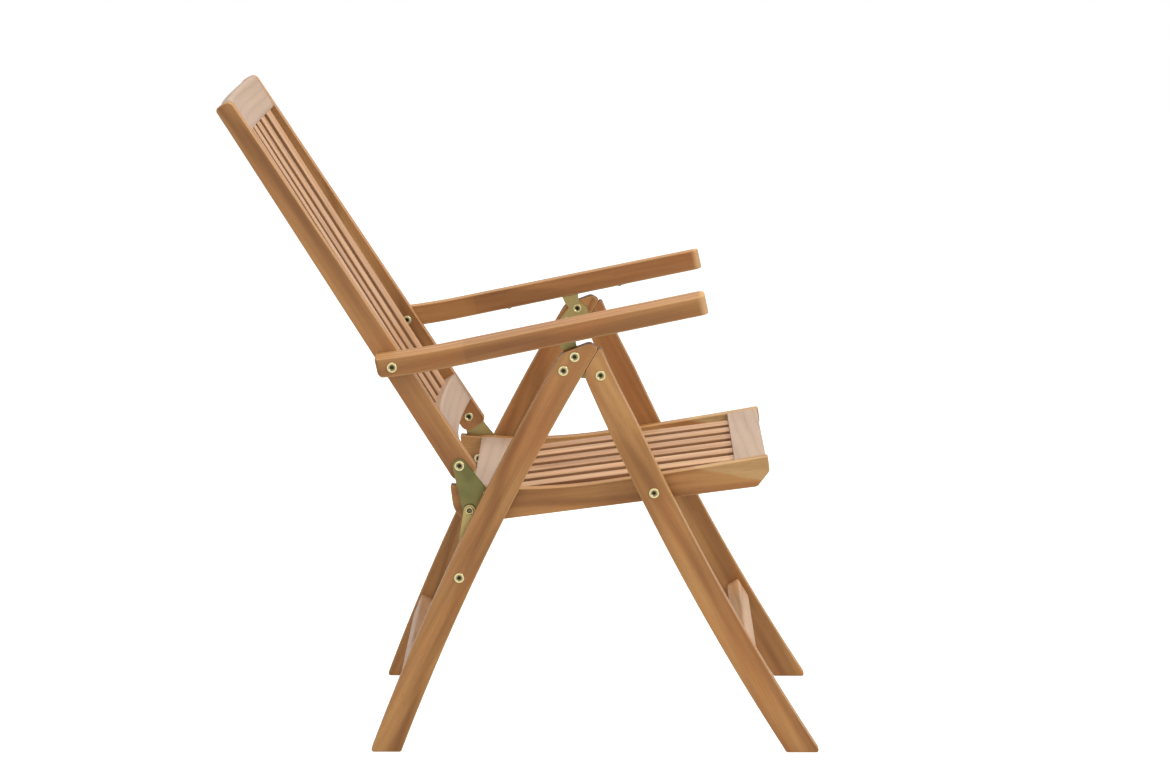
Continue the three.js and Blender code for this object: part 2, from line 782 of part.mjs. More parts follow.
function makeStile(side) {
  const board = mirroredBoard(side, stileShape(), railInner, railOuter, stileArris, 6);
  const bores = [ownOrigin, armBoltOnBack].map((place) => boltBore(place, side, railInner, railOuter));
  const pockets = [backTopRail, backLowRail].map((rail) => {
    const face = stileRear + rail.frontDepth;
    const inset = tenonShoulder - fitGap;
    const corners = rectangle(
      new THREE.Vector2(face - rail.thickness + inset - backHollow / 4, rail.low + inset),
      new THREE.Vector2(face - inset, rail.low + rail.height - inset),
    );
    const shape = filletedShape(plainCorners(corners));
    return mirroredBoard(side, shape, railInner - cutOverrun, railInner + railTenon + fitGap);
  });
  return piece(`back_stile_${side.name}`, cut(board, [...bores, ...pockets]), teak);
}

function makeBack() {
  const back = frameAt(backPivot, backTilt);
  for (const side of sides) {
    const washer = tubeProfile(railOuter + fitGap, armInner - fitGap, boltShankRadius + boreClearance, boltHeadRadius);
    back.add(makeStile(side));
    const pivotProfile = boltProfile(railInner, plateOuter);
    back.add(turned(`back_pivot_bolt_${side.name}`, pivotProfile, ownOrigin, side, zincBolt));
    const armProfile = boltProfile(railInner, armOuter);
    back.add(turned(`armrest_bolt_${side.name}`, armProfile, armBoltOnBack, side, zincBolt));
    back.add(turned(`armrest_washer_${side.name}`, washer, armBoltOnBack, side, zincBolt));
  }
  back.add(makeBackRail('back_top_rail', backTopRail));
  back.add(makeBackRail('back_lower_rail', backLowRail));
  for (let index = 0; index < slatCount; index += 1) {
    back.add(piece(`back_slat_${index + 1}`, backSlatBar(index, 0), slatTeak));
  }
  return back;
}

// Armrest, in its own frame: X runs forward from the bolt and Z square to it

const headTop = armUnderside + headRise;
const webUnder = headTop + armDrop + armPathRise + shoulderGap;
const webTop = webUnder + channelWall;
const tongueTop = webUnder - armPathRise - fitGap;
const pocketTop = webTop + armDrop;
const channelHalf = channelInnerWidth / 2 + channelWall;
const headLayer = (bracketInner + bracketOuter) / 2;

function armUndersideAt(forward) {
  const behind = Math.max(armBend - forward, 0) / armBend;
  return armUnderside + (armRearUnderside - armUnderside) * behind ** 2;
}

function armThicknessAt(forward) {
  return THREE.MathUtils.lerp(armRearThickness, armFrontThickness, Math.max(forward, 0) / armFront);
}

function armSideShape() {
  const under = [];
  const top = [];
  const steps = [...Array(armSteps + 1).keys()];
  const stations = steps.map((step) => THREE.MathUtils.lerp(-armRear, armBend, step / armSteps));
  for (const forward of [...stations, armFront]) {
    under.push(new THREE.Vector2(forward, armUndersideAt(forward)));
    top.push(new THREE.Vector2(forward, armUndersideAt(forward) + armThicknessAt(forward)));
  }
  const corners = plainCorners([...under, ...top.reverse()]);
  corners[0][1] = armHeelRadius;
  return filletedShape(corners);
}

function armPlan(side) {
  const low = new THREE.Vector2(-armRear, Math.min(side.sign * armInner, side.sign * armOuter));
  const high = new THREE.Vector2(armFront, Math.max(side.sign * armInner, side.sign * armOuter));
  const noseRadius = (armWidth - armNoseFlat) / 2;
  const corners = rectangle(low, high).map((corner) => [corner, corner.x > 0 ? noseRadius : armEndRadius]);
  const plan = extruded(filletedShape(corners), armWidth + armWidth, 0, 5);
  plan.translate(0, 0, -armWidth);
  return plan;
}

// The top face falls towards the outside, and the underside stays level across.
function slopeTop(geometry) {
  const position = geometry.attributes.position;
  for (let corner = 0; corner < position.count; corner += 1) {
    const forward = position.getX(corner);
    const across = (Math.abs(position.getY(corner)) - armInner) / armWidth;
    const lift = (position.getZ(corner) - armUndersideAt(forward)) / armThicknessAt(forward);
    position.setZ(corner, position.getZ(corner) - armCrossfall * across * lift);
  }
  return geometry;
}

// A block of the side view on the layer of the channel, given its half width across.
function channelBlock(side, rear, front, low, high, half) {
  const shape = filletedShape(plainCorners(rectangle(new THREE.Vector2(rear, low), new THREE.Vector2(front, high))));
  return sideBoard(shape, side.sign * headLayer - half, side.sign * headLayer + half);
}

// How far along the armrest the head stands when the back has turned by an angle.
function notchPlace(recline) {
  const bolt = toWorld(backPivot, backTilt + recline, armBoltOnBack);
  return Math.sqrt(bolt.distanceToSquared(headCentre) - webUnder ** 2);
}

const troughRear = channelRear + channelTab;
const troughFront = channelFront - channelTab;
const tabTop = armUnderside - channelProud + channelWall;

function makeArmrest(side) {
  const plank = slopeTop(mirroredBoard(side, armSideShape(), armInner, armOuter, armArris));
  const groove = channelBlock(side, troughRear - fitGap, troughFront + fitGap, armUnderside - cutOverrun,
    webTop + fitGap, channelHalf + fitGap);
  const tabGroove = channelBlock(side, channelRear - fitGap, channelFront + fitGap, armUnderside - cutOverrun,
    tabTop + fitGap, channelHalf + fitGap);
  const tonguePocket = channelBlock(side, notchPlace(reclineStep * reclineStepShares[0]) - notchLength,
    notchPlace(reclineStep * reclineStepShares[4]) + notchLength, webUnder, pocketTop, notchWidth / 2 + fitGap);
  const bolt = boltBore(ownOrigin, side, armInner, armOuter);
  const board = common(plank, armPlan(side));
  return piece(`armrest_${side.name}`, cut(board, [groove, tabGroove, tonguePocket, bolt]), teak);
}

function makeChannel(side) {
  const foot = armUnderside - channelProud;
  const strip = channelBlock(side, channelRear, channelFront, foot, tabTop, channelHalf);
  const trough = channelBlock(side, troughRear, troughFront, foot, webTop, channelHalf);
  const inside = channelBlock(side, troughRear + channelWall, troughFront - channelWall, foot - cutOverrun,
    webUnder, channelInnerWidth / 2);
  const slots = reclineStepShares.map((share) => {
    const place = notchPlace(reclineStep * share);
    return channelBlock(side, place - notchLength / 2, place + notchLength / 2, webUnder - channelWall,
      webTop + channelWall, notchWidth / 2);
  });
  const screws = [channelRear + channelTab / 2, channelFront - channelTab / 2].map((forward) => {
    const dome = new THREE.SphereGeometry(channelScrewRadius, roundSegments, roundSegments / 2);
    dome.rotateX(Math.PI / 2);
    dome.scale(1, 1, channelScrewHeight / channelScrewRadius);
    dome.translate(forward, side.sign * headLayer, foot);
    return dome;
  });
  return piece(`notch_channel_${side.name}`, cut(join(strip, [trough, ...screws]), [inside, ...slots]), zincPlate);
}

function makeArmrests() {
  const arms = frameAt(armBolt, armSlope);
  for (const side of sides) {
    arms.add(makeArmrest(side));
    arms.add(makeChannel(side));
  }
  return arms;
}

// Leg hinge bracket, with the T-shaped head that holds the armrest

function makeBracket(side) {
  const corner = (forward, height) => toWorld(armBolt, armSlope, new THREE.Vector2(headReach + forward, height));
  const plate = mirroredBoard(side, lobedShape([legPivot, upperBolt, lowerBolt], bracketLobe), bracketInner,
    bracketOuter);
  const neckFoot = (way) => toWorld(upperBolt, armSlope, new THREE.Vector2(way * neckWidth / 2, 0));
  const neckShape = filletedShape([
    [neckFoot(-1), 0],
    [corner(-neckWidth / 2, armUnderside - neckDrop), neckWidth],
    [corner(-headWidth / 2, armUnderside - headRise), 0],
    [corner(-headWidth / 2, headTop), 0],
    [corner(-tongueWidth / 2, headTop), 0],
    [corner(-tongueWidth / 2, tongueTop), headRise],
    [corner(tongueWidth / 2, tongueTop), headRise],
    [corner(tongueWidth / 2, headTop), 0],
    [corner(headWidth / 2, headTop), 0],
    [corner(headWidth / 2, armUnderside - headRise), 0],
    [corner(neckWidth / 2, armUnderside - neckDrop), neckWidth],
    [neckFoot(1), 0],
  ]);
  const neck = mirroredBoard(side, neckShape, bracketInner, bracketOuter);
  const hollowCentre = upperBolt.clone().add(legPivot).multiplyScalar(1 / 2);
  const away = legPivot.clone().sub(upperBolt).rotateAround(ownOrigin, Math.PI / 2).normalize();
  hollowCentre.addScaledVector(away, bracketLobe + bracketHollowRadius / 2);
  const hollow = bore(hollowCentre, bracketHollowRadius, side, bracketInner, bracketOuter);
  const holes = [legPivot, upperBolt, lowerBolt].map((place) => boltBore(place, side, bracketInner, bracketOuter));
  return piece(`leg_hinge_bracket_${side.name}`, cut(join(plate, [neck]), [hollow, ...holes]), zincPlate);
}

// A link strip with the domed head of its pin.
function makeLink(side) {
  const strip = mirroredBoard(side, lobedShape([linkBolt, linkPin], linkLobe), linkInner, linkOuter);
  const head = turned('head', [
    [0, linkInner + linkPinHeadHeight / 2],
    [linkPinHeadRadius, linkInner + linkPinHeadHeight / 2],
    [linkPinHeadRadius, linkOuter + linkPinHeadHeight / 2],
    [linkPinHeadRadius - linkPinHeadHeight / 2, linkOuter + linkPinHeadHeight],
    [0, linkOuter + linkPinHeadHeight],
  ], linkPin, side, zincBolt);
  head.updateMatrix();
  head.geometry.applyMatrix4(head.matrix);
  return piece(`link_${side.name}`, cut(join(strip, [head.geometry]), [boltBore(linkBolt, side, linkInner, linkOuter)]),
    zincPlate);
}

function makeLegBolts(side) {
  const hole = boltShankRadius + boreClearance;
  const linkBush = tubeProfile(linkOuter + fitGap, legInner - fitGap, hole, hole + bushWall);
  const seatBush = tubeProfile(railOuter + fitGap, legInner - fitGap, hole, hole + bushWall);
  return [
    turned(`bracket_upper_bolt_${side.name}`, boltProfile(bracketInner, legOuter), upperBolt, side, zincBolt),
    turned(`bracket_lower_bolt_${side.name}`, boltProfile(bracketInner, legOuter), lowerBolt, side, zincBolt),
    turned(`leg_pivot_bolt_${side.name}`, boltProfile(bracketInner, legOuter), legPivot, side, zincBolt),
    turned(`seat_pivot_bolt_${side.name}`, boltProfile(railInner, legOuter), seatBolt, side, zincBolt),
    turned(`seat_pivot_bush_${side.name}`, seatBush, seatBolt, side, zincBolt),
    turned(`link_bolt_${side.name}`, boltProfile(linkInner, legOuter), linkBolt, side, zincBolt),
    turned(`link_bush_${side.name}`, linkBush, linkBolt, side, zincBolt),
  ];
}

const chair = new THREE.Group();
for (const side of sides) {
  chair.add(makeRearLeg(side));
  chair.add(makeFrontLeg(side));
  chair.add(makeBracket(side));
  chair.add(makeLink(side));
  chair.add(...makeLegBolts(side));
}
chair.add(makeStretcher('rear_stretcher', rearBlocks));
chair.add(makeStretcher('front_stretcher', frontBlocks));
chair.add(makeSeat());
chair.add(makeBack());
chair.add(makeArmrests());

// The frame's origin is on the floor, midway between the foremost and the rearmost point.
chair.updateMatrixWorld(true);
const bounds = new THREE.Box3().setFromObject(chair, true);
chair.position.x = -(bounds.min.x + bounds.max.x) / 2;

export default chair;
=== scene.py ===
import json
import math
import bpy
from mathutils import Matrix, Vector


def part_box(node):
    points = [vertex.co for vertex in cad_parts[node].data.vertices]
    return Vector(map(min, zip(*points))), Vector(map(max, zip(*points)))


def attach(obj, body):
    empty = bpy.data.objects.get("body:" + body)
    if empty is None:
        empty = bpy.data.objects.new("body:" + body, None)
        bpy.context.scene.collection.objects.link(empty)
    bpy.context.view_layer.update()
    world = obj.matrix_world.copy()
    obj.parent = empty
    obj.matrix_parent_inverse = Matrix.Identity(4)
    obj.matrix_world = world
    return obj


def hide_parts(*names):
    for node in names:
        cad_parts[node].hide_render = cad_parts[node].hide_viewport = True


bl_info = {
    "name": "Folding Garden Armchair",
    "version": (1, 0, 0),
    "blender": (4, 5, 0),
    "location": "View3D > Sidebar > Armchair",
    "description": "Builds a folding, reclining teak armchair round its packed frame",
    "category": "Add Mesh",
}

import bmesh
import bpy
import numpy as np
from bpy.props import FloatProperty, FloatVectorProperty, IntProperty, PointerProperty
from mathutils import Matrix, Vector

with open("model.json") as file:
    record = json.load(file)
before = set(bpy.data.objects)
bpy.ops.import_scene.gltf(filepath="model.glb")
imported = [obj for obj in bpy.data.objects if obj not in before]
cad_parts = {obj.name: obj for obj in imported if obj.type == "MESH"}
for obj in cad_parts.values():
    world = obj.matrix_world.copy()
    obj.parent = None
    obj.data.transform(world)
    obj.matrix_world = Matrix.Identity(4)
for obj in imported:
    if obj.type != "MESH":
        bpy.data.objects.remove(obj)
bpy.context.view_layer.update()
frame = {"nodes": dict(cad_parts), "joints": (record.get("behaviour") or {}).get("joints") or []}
SIDES = (("right", -1.0), ("left", 1.0))
PLACES = {joint["name"]: joint["pos_m"] for joint in frame["joints"]}


def place(joint):
    """The place of a pivot in the side view, in metres: forward and up."""
    return np.array([PLACES[joint][0], PLACES[joint][2]])


def bolt_place(node):
    """The axis of a turned piece in the side view."""
    low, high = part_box(node)
    return np.array([(low.x + high.x) / 2, (low.z + high.z) / 2])


LEG_PIVOT = place("fold")
SEAT_BOLT = place("seat_turn")
LINK_BOLT = place("link_turn")
BACK_PIVOT = place("recline")
ARM_BOLT = place("arm_level")
LINK_PIN = bolt_place("link_pin_sleeve_right")
# The link pin along the seat behind its bolt, and above the line through the bolt
PIN_BEHIND, PIN_ABOVE = 0.2859, 0.0041
SEAT_SLOPE = math.atan2(*(SEAT_BOLT - LINK_PIN)[::-1]) + math.atan2(PIN_ABOVE, PIN_BEHIND)


# Sizes and colours


def length(name, description, default):
    return FloatProperty(name=name, description=description, default=default, unit="LENGTH")


def angle(name, description, default):
    return FloatProperty(name=name, description=description, default=default, subtype="ANGLE")


def colour(name, description, *default):
    return FloatVectorProperty(name=name, description=description, default=default, subtype="COLOR")


class ChairSizes(bpy.types.PropertyGroup):
    leg_curve: length("Leg curve", "Radius of the curve of the legs", 4.0)
    leg_width: length("Leg width", "Width of a leg in the side view", 0.045)
    leg_inset: length("Pivot inset", "Leg pivot to the edges on which the legs nest", 0.0238)
    rear_lean: angle("Rear lean", "Lean of the rear legs at the pivot", math.radians(-30.3))
    front_lean: angle("Front lean", "Lean of the front legs at the pivot", math.radians(23.3))
    wood_arris: length("Wood arris", "Radius of the rounded edges of the frame", 0.0019)
    slat_arris: length("Slat arris", "Radius of the rounded edges of the slats", 0.0016)
    seat_slope: angle("Seat slope", "Slope of the seat, front up", SEAT_SLOPE)
    back_tilt: angle("Back tilt", "Tilt of the back from upright", math.radians(32.2))
    back_hollow: length("Back hollow", "Depth of the curve of the back rails", 0.013)
    arm_slope: angle("Arm slope", "Slope of the armrests, front up", math.radians(11.8))
    arm_thickness: length("Arm thickness", "Thickness of an armrest at its inner edge", 0.0332)
    socket_width: length("Socket width", "Across the flats of the bolt sockets", 0.0050)
    turned_steps: IntProperty(name="Turned steps", description="Faces round a bolt", default=48, min=12)
    lens: FloatProperty(name="Lens", description="Focal length", default=127.82, unit="CAMERA")


class ChairColours(bpy.types.PropertyGroup):
    teak: colour("Teak", "Legs, stiles and armrests", 0.392, 0.184, 0.060)
    deep_teak: colour("Deep teak", "Side rails of the seat", 0.395, 0.184, 0.058)
    golden_teak: colour("Golden teak", "The front ends of the side rails", 0.48, 0.285, 0.115)
    # The cross rails are paler partly from weathering and partly as painted light from above and in front
    pale_teak: colour("Pale teak", "Cross rails", 0.392, 0.268, 0.184)
    slat_teak: colour("Slat teak", "Slats and stretchers", 0.47, 0.262, 0.130)
    # The plates' base is set darker partly as painted shade, for the shade they sit in
    plate: colour("Plates", "Dark olive zinc of the plates", 0.090, 0.086, 0.028)
    link: colour("Links", "Pale golden zinc of the links", 0.30, 0.235, 0.090)
    bolt: colour("Bolts", "Pale yellow zinc of the bolts", 0.54, 0.47, 0.25)


# Outlines

NEARLY_STRAIGHT = math.radians(89.5)
MOST_OF_AN_EDGE = 0.98
SAME_PLACE = 1e-6


def turned_by(points, angle):
    """Turns places of the side view by an angle from X towards Z."""
    points = np.asarray(points, float)
    c, s = math.cos(angle), math.sin(angle)
    return points @ np.array([[c, s], [-s, c]])


def rounded(corners, count=9):
    """A closed anticlockwise outline through corners (a, b, radius). Where edges meet at an angle g, the arc
    of radius r starts r / tan(g / 2) from the corner, and its centre lies r / sin(g / 2) in from it."""
    out = []
    for k, (a, b, radius) in enumerate(corners):
        here = np.array([a, b])
        before = np.array(corners[k - 1][:2]) - here
        after = np.array(corners[(k + 1) % len(corners)][:2]) - here
        lengths = np.linalg.norm(before), np.linalg.norm(after)
        before, after = before / lengths[0], after / lengths[1]
        half = math.acos(np.clip(before @ after, -1, 1)) / 2
        if radius <= 0 or half > NEARLY_STRAIGHT:
            out.append(here[None])
            continue
        reach = min(radius / math.tan(half), lengths[0] * MOST_OF_AN_EDGE, lengths[1] * MOST_OF_AN_EDGE)
        radius = reach * math.tan(half)
        bisector = (before + after) / np.linalg.norm(before + after)
        centre = here + bisector * radius / math.sin(half)
        start, end = here + before * reach - centre, here + after * reach - centre
        turn = math.atan2(start[0] * end[1] - start[1] * end[0], start @ end)
        t = math.atan2(start[1], start[0]) + np.linspace(0, turn, count)
        out.append(centre + radius * np.column_stack([np.cos(t), np.sin(t)]))
    outline = np.concatenate(out)
    apart = np.linalg.norm(outline - np.roll(outline, 1, axis=0), axis=1) > SAME_PLACE
    outline = outline[apart]
    x, y = outline.T
    area = np.sum(x * np.roll(y, -1) - np.roll(x, -1) * y)
    return outline if area > 0 else outline[::-1]


def strip_outline(ends, radius, count=18):
    """A strip with half-round ends about two places."""
    out = []
    for here, other in (ends, ends[::-1]):
        first = math.atan2(*(here - other)[::-1]) - math.pi / 2
        t = first + np.linspace(0, math.pi, count)
        out.append(here + radius * np.column_stack([np.cos(t), np.sin(t)]))
    return np.concatenate(out)


# Meshes

MITRE_LIMIT = 0.3
# The last ring of a board's edge: its place in edge radii, and how pale the rounding ends there, from wear
# and a painted highlight
SHOULDER, SHOULDER_WEAR_AND_HIGHLIGHT = 1.25, 0.6
# How the grain leans in a board, and where the board lay in the tree
GRAIN_TILT = 0.05
SHIFT_ALONG, SHIFT_ACROSS, HEART_DEPTH = 4, 0.03, (0.012, 0.05)


def add_values(mesh, name, values):
    """Stores one number for each vertex under a name that a material reads."""
    values = np.full(len(mesh.vertices), values, np.float32)
    mesh.attributes.new(name, "FLOAT", "POINT").data.foreach_set("value", values)


def edge_wear(vertices, steps):
    """How pale the edges of a board are, part sanded wear and part a painted highlight along the arris: the
    root of sin(2t) on the ring of board_mesh at angle t, but the shoulder's share at 90 degrees and nothing
    beyond it."""
    half = np.sqrt(np.abs(np.sin(np.linspace(0, math.pi, steps))))
    half[-1] = SHOULDER_WEAR_AND_HIGHLIGHT
    rings = np.concatenate([half, [0, 0], half[::-1]])
    return np.repeat(rings, len(vertices) // len(rings))


def placed(name, mesh, body, slot):
    """Makes the object of a mesh in its finish, riding on its body."""
    piece = bpy.data.objects.new(name, mesh)
    bpy.context.scene.collection.objects.link(piece)
    mesh.materials.append(material(slot))
    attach(piece, body)
    return piece


def finish_piece(name, body, slot, shape, grain, *nodes, tone=None, **marks):
    """Makes the object from vertices, faces and smooth marks, in place of its nodes. Grain coordinates run
    along, across and through the board, and lean a little so that the rings run out of it."""
    vertices, faces, smooth = shape
    mesh = bpy.data.meshes.new(name)
    mesh.from_pydata(vertices.tolist(), [], faces)
    mesh.update()
    mesh.polygons.foreach_set("use_smooth", smooth)
    if grain is not None:
        origin, axes, seed = grain
        draw = np.random.default_rng(seed)
        coords = (vertices - origin) @ np.asarray(axes).T
        lean = draw.uniform(-GRAIN_TILT, GRAIN_TILT, 2)
        heart = (
            draw.uniform(-SHIFT_ALONG, SHIFT_ALONG),
            draw.uniform(-SHIFT_ACROSS, SHIFT_ACROSS),
            draw.uniform(*HEART_DEPTH) * draw.choice((-1, 1)),
        )
        coords = coords + np.outer(coords[:, 0], (0, *lean)) + heart
        layer = mesh.attributes.new("grain", "FLOAT_VECTOR", "POINT")
        layer.data.foreach_set("vector", coords.astype(np.float32).ravel())
        shade = draw.uniform(-1, 1)
        add_values(mesh, "tone", shade if tone is None else tone)
    for key, values in marks.items():
        add_values(mesh, key, values)
    piece = placed(name, mesh, body, slot)
    if nodes:
        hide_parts(*nodes)


def ring_quads(rings, count):
    """The quads between rings of vertices that are stored one ring after the other."""
    ring, step = np.meshgrid(np.arange(rings - 1) * count, np.arange(count), indexing="ij")
    follow = (step + 1) % count
    quads = np.stack([ring + step, ring + follow, ring + count + follow, ring + count + step], -1)
    return quads.reshape(-1, 4).tolist()


def board_mesh(outline, low, high, arris, axes, steps=5, ladder=False):
    """A board with rounded edges. Its outline lies in the first two axes. On the ring at angle t, from 0 at a
    face to 90 degrees at the edge, it is drawn in by r(1 - sin t) and lies r(1 - cos t) from that face. One
    more ring lies SHOULDER radii from it. The two faces may have different radii, and are one polygon each or
    a ladder between facing points."""
    near, far = arris if isinstance(arris, tuple) else (arris, arris)
    ahead = np.roll(outline, -1, axis=0) - outline
    ahead /= np.linalg.norm(ahead, axis=1)[:, None]
    back = np.roll(ahead, 1, axis=0)
    inward = np.column_stack([-(ahead + back)[:, 1], (ahead + back)[:, 0]])
    mitre = np.sum(inward * np.column_stack([-ahead[:, 1], ahead[:, 0]]), axis=1)
    inward /= np.maximum(mitre, MITRE_LIMIT)[:, None]
    t = np.linspace(0, math.pi / 2, steps)
    shoulders = [low + SHOULDER * near, high - SHOULDER * far]
    inset = np.concatenate([near * (1 - np.sin(t)), [0, 0], far * (1 - np.sin(t[::-1]))])
    height = np.concatenate([low + near * (1 - np.cos(t)), shoulders, high - far * (1 - np.cos(t[::-1]))])
    flat = outline[None] + inset[:, None, None] * inward[None]
    rings, count = flat.shape[:2]
    local = np.concatenate([flat, np.broadcast_to(height[:, None, None], (rings, count, 1))], axis=2)
    axes = np.asarray(axes, float)
    vertices = local.reshape(-1, 3) @ axes
    faces = ring_quads(rings, count)
    last = (rings - 1) * count
    if ladder:
        rung = np.arange(count // 2 - 1)
        foot = np.stack([rung, count - 1 - rung, count - 2 - rung, rung + 1], -1)
        faces += foot.tolist() + (last + foot[:, ::-1]).tolist()
        smooth = [True] * len(faces)
    else:
        smooth = [True] * len(faces) + [False, False]
        faces += [list(range(count))[::-1], list(range(last, rings * count))]
    if np.linalg.det(axes) < 0:
        faces = [face[::-1] for face in faces]
    return vertices, faces, smooth


SIDE_VIEW = ((1, 0, 0), (0, 0, 1), (0, 1, 0))
ACROSS = ((0, 1, 0), (1, 0, 0), (0, 0, 1))


def along(lean):
    """The axes of a body of the side view: ahead, up and sideways."""
    c, s = math.cos(lean), math.sin(lean)
    return np.array([(c, 0, s), (-s, 0, c), (0, 1, 0)])


def in_space(point):
    """A place of the side view, on the centre plane."""
    return np.array([point[0], 0, point[1]])


def side_layer(sign, inner, outer):
    """The layer between two distances from the centre plane, on one side of it."""
    return (inner, outer) if sign > 0 else (-outer, -inner)


def layer_of(node):
    """How far from the centre plane a node begins and ends."""
    low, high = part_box(node)
    return min(abs(low.y), abs(high.y)), max(abs(low.y), abs(high.y))


def side_board(node, sign, body, slot, outline, grain, steps=5):
    """Makes a board of the side view in its node's layer, with pale edges of wear and painted highlight."""
    arris = bpy.context.scene.chair_sizes.wood_arris
    shape = board_mesh(outline, *side_layer(sign, *layer_of(node)), arris, SIDE_VIEW, steps)
    finish_piece(f"{node}_board", body, slot, shape, grain, node, wear=edge_wear(shape[0], steps))


def clean_copy(name, body, slot, node, tint):
    """A merged copy of a plate's solid with its long edges eased by a small bevel."""
    mesh = frame["nodes"][node].data.copy()
    mesh.materials.clear()
    edit = bmesh.new()
    edit.from_mesh(mesh)
    bmesh.ops.remove_doubles(edit, verts=edit.verts, dist=SAME_PLACE)
    bmesh.ops.dissolve_limit(
        edit, angle_limit=math.radians(1), use_dissolve_boundaries=False, verts=edit.verts, edges=edit.edges
    )
    edit.to_mesh(mesh)
    edit.free()
    add_values(mesh, "tint", tint)
    piece = placed(name, mesh, body, slot)
    ease = piece.modifiers.new("ease", "BEVEL")
    ease.width = PLATE_BEVEL
    ease.segments = 2
    ease.limit_method = "ANGLE"
    ease.angle_limit = math.radians(50)
    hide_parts(node)


# Nodes


def node_maker(tree):
    """Empties a node tree, and returns what adds a node to it and what links two sockets."""
    tree.nodes.clear()

    def add(kind, **values):
        node = tree.nodes.new(kind)
        for key, value in values.items():
            if key in node.inputs and not hasattr(type(node), key):
                node.inputs[key].default_value = value
            else:
                setattr(node, key, value)
        return node

    return add, tree.links.new


def new_material(name):
    material = bpy.data.materials.new(name)
    material.use_nodes = True
    return material, *node_maker(material.node_tree)


def scaled(add, link, source, scale):
    node = add("ShaderNodeVectorMath", operation="MULTIPLY")
    link(source, node.inputs[0])
    node.inputs[1].default_value = scale
    return node.outputs[0]


def computed(add, link, operation, *values, clamp=False):
    """A number worked out from sockets or plain numbers."""
    node = add("ShaderNodeMath", operation=operation, use_clamp=clamp)
    for socket, value in zip(node.inputs, values):
        if hasattr(value, "links"):
            link(value, socket)
        else:
            socket.default_value = value
    return node.outputs[0]


def ranged(add, link, source, low, high, first=0.0, last=1.0, **options):
    """A number that goes from low to high as its source goes from first to last."""
    node = add("ShaderNodeMapRange", **options)
    for key, value in (("From Min", first), ("From Max", last), ("To Min", low), ("To Max", high)):
        node.inputs[key].default_value = value
    link(source, node.inputs["Value"])
    return node.outputs[0]


def ramp(add, link, source, *stops):
    """The colour or number at the source's place between stops (place, value)."""
    node = add("ShaderNodeValToRGB")
    elements = node.color_ramp.elements
    while len(elements) < len(stops):
        elements.new(0.5)
    for element, (at, value) in zip(elements, stops):
        element.position = at
        element.color = (*value, 1) if isinstance(value, tuple) else (value, value, value, 1)
    link(source, node.inputs[0])
    return node.outputs[0]


def blended(add, link, mode, factor, first, second):
    """One colour laid over another. Factor and colours may be sockets or values."""
    node = add("ShaderNodeMix", data_type="RGBA", blend_type=mode)
    node.clamp_result = True
    for socket, value in ((node.inputs[0], factor), (node.inputs[6], first), (node.inputs[7], second)):
        if hasattr(value, "links"):
            link(value, socket)
        elif isinstance(value, float):
            socket.default_value = value
        else:
            socket.default_value = (*value, 1)
    return node.outputs[2]


def own_values(add, *names):
    """The numbers that a piece's vertices hold under these names."""
    return [add("ShaderNodeAttribute", attribute_name=name).outputs["Fac"] for name in names]


def surface(add, link, base, rough, bump, **values):
    """The shader of a solid surface, linked to the material's output."""
    shader = add("ShaderNodeBsdfPrincipled", **values)
    link(base, shader.inputs["Base Color"])
    link(rough, shader.inputs["Roughness"])
    link(bump.outputs[0], shader.inputs["Normal"])
    link(shader.outputs[0], add("ShaderNodeOutputMaterial").inputs[0])
    return shader


# Wood

# How finely each layer of the figure changes along, across and through the grain
GRAIN_SCALES = {
    "band": (2.4, 34, 34),
    "warm": (4.5, 26, 26),
    "ring": (0.12, 1, 1),
    "fibre": (7, 380, 380),
    "streak": (3.0, 95, 95),
    "pore": (70, 1500, 1500),
}
RINGS = {"Scale": 21.0, "Distortion": 6.0, "Detail": 2.0, "Detail Scale": 0.7, "Detail Roughness": 0.5}
# Shades of the wood, as shares of its own colour. The pale edge shade is part wear and part painted
# highlight, and the last one is painted shade for the gaps beside the slats
SHADES = {
    "light": (1.20, 1.24, 1.32),
    "dark": (0.74, 0.66, 0.55),
    "orange": (1.12, 0.86, 0.66),
    "vein": (0.50, 0.42, 0.34),
    "pore": (0.45, 0.38, 0.31),
    "worn_and_lit": (1.66, 2.2, 3.4),
    "soiled": (0.44, 0.35, 0.26),
}
RING_SHARE, VEIN_SHARE, ORANGE_SHARE, PORE_SHARE, WORN_AND_LIT_SHARE = 0.5, 0.42, 0.45, 0.36, 0.55
TONE_RANGE = (0.44, 0.57)
# The pale edges, part wear and part painted highlight, are rougher than the oiled faces and shine less
WOOD_SHINE, WORN_SHINE, WORN_ROUGHNESS = 0.34, -0.28, 0.35
# The golden end: its line rises steeply, wavers with noise, and lies this far forward of the seat bolt
GOLDEN_LEAN, GOLDEN_WAVE, GOLDEN_SHARE = 5.7, 0.08, 0.9
GOLDEN_FROM, GOLDEN_TO = 0.222, 0.258


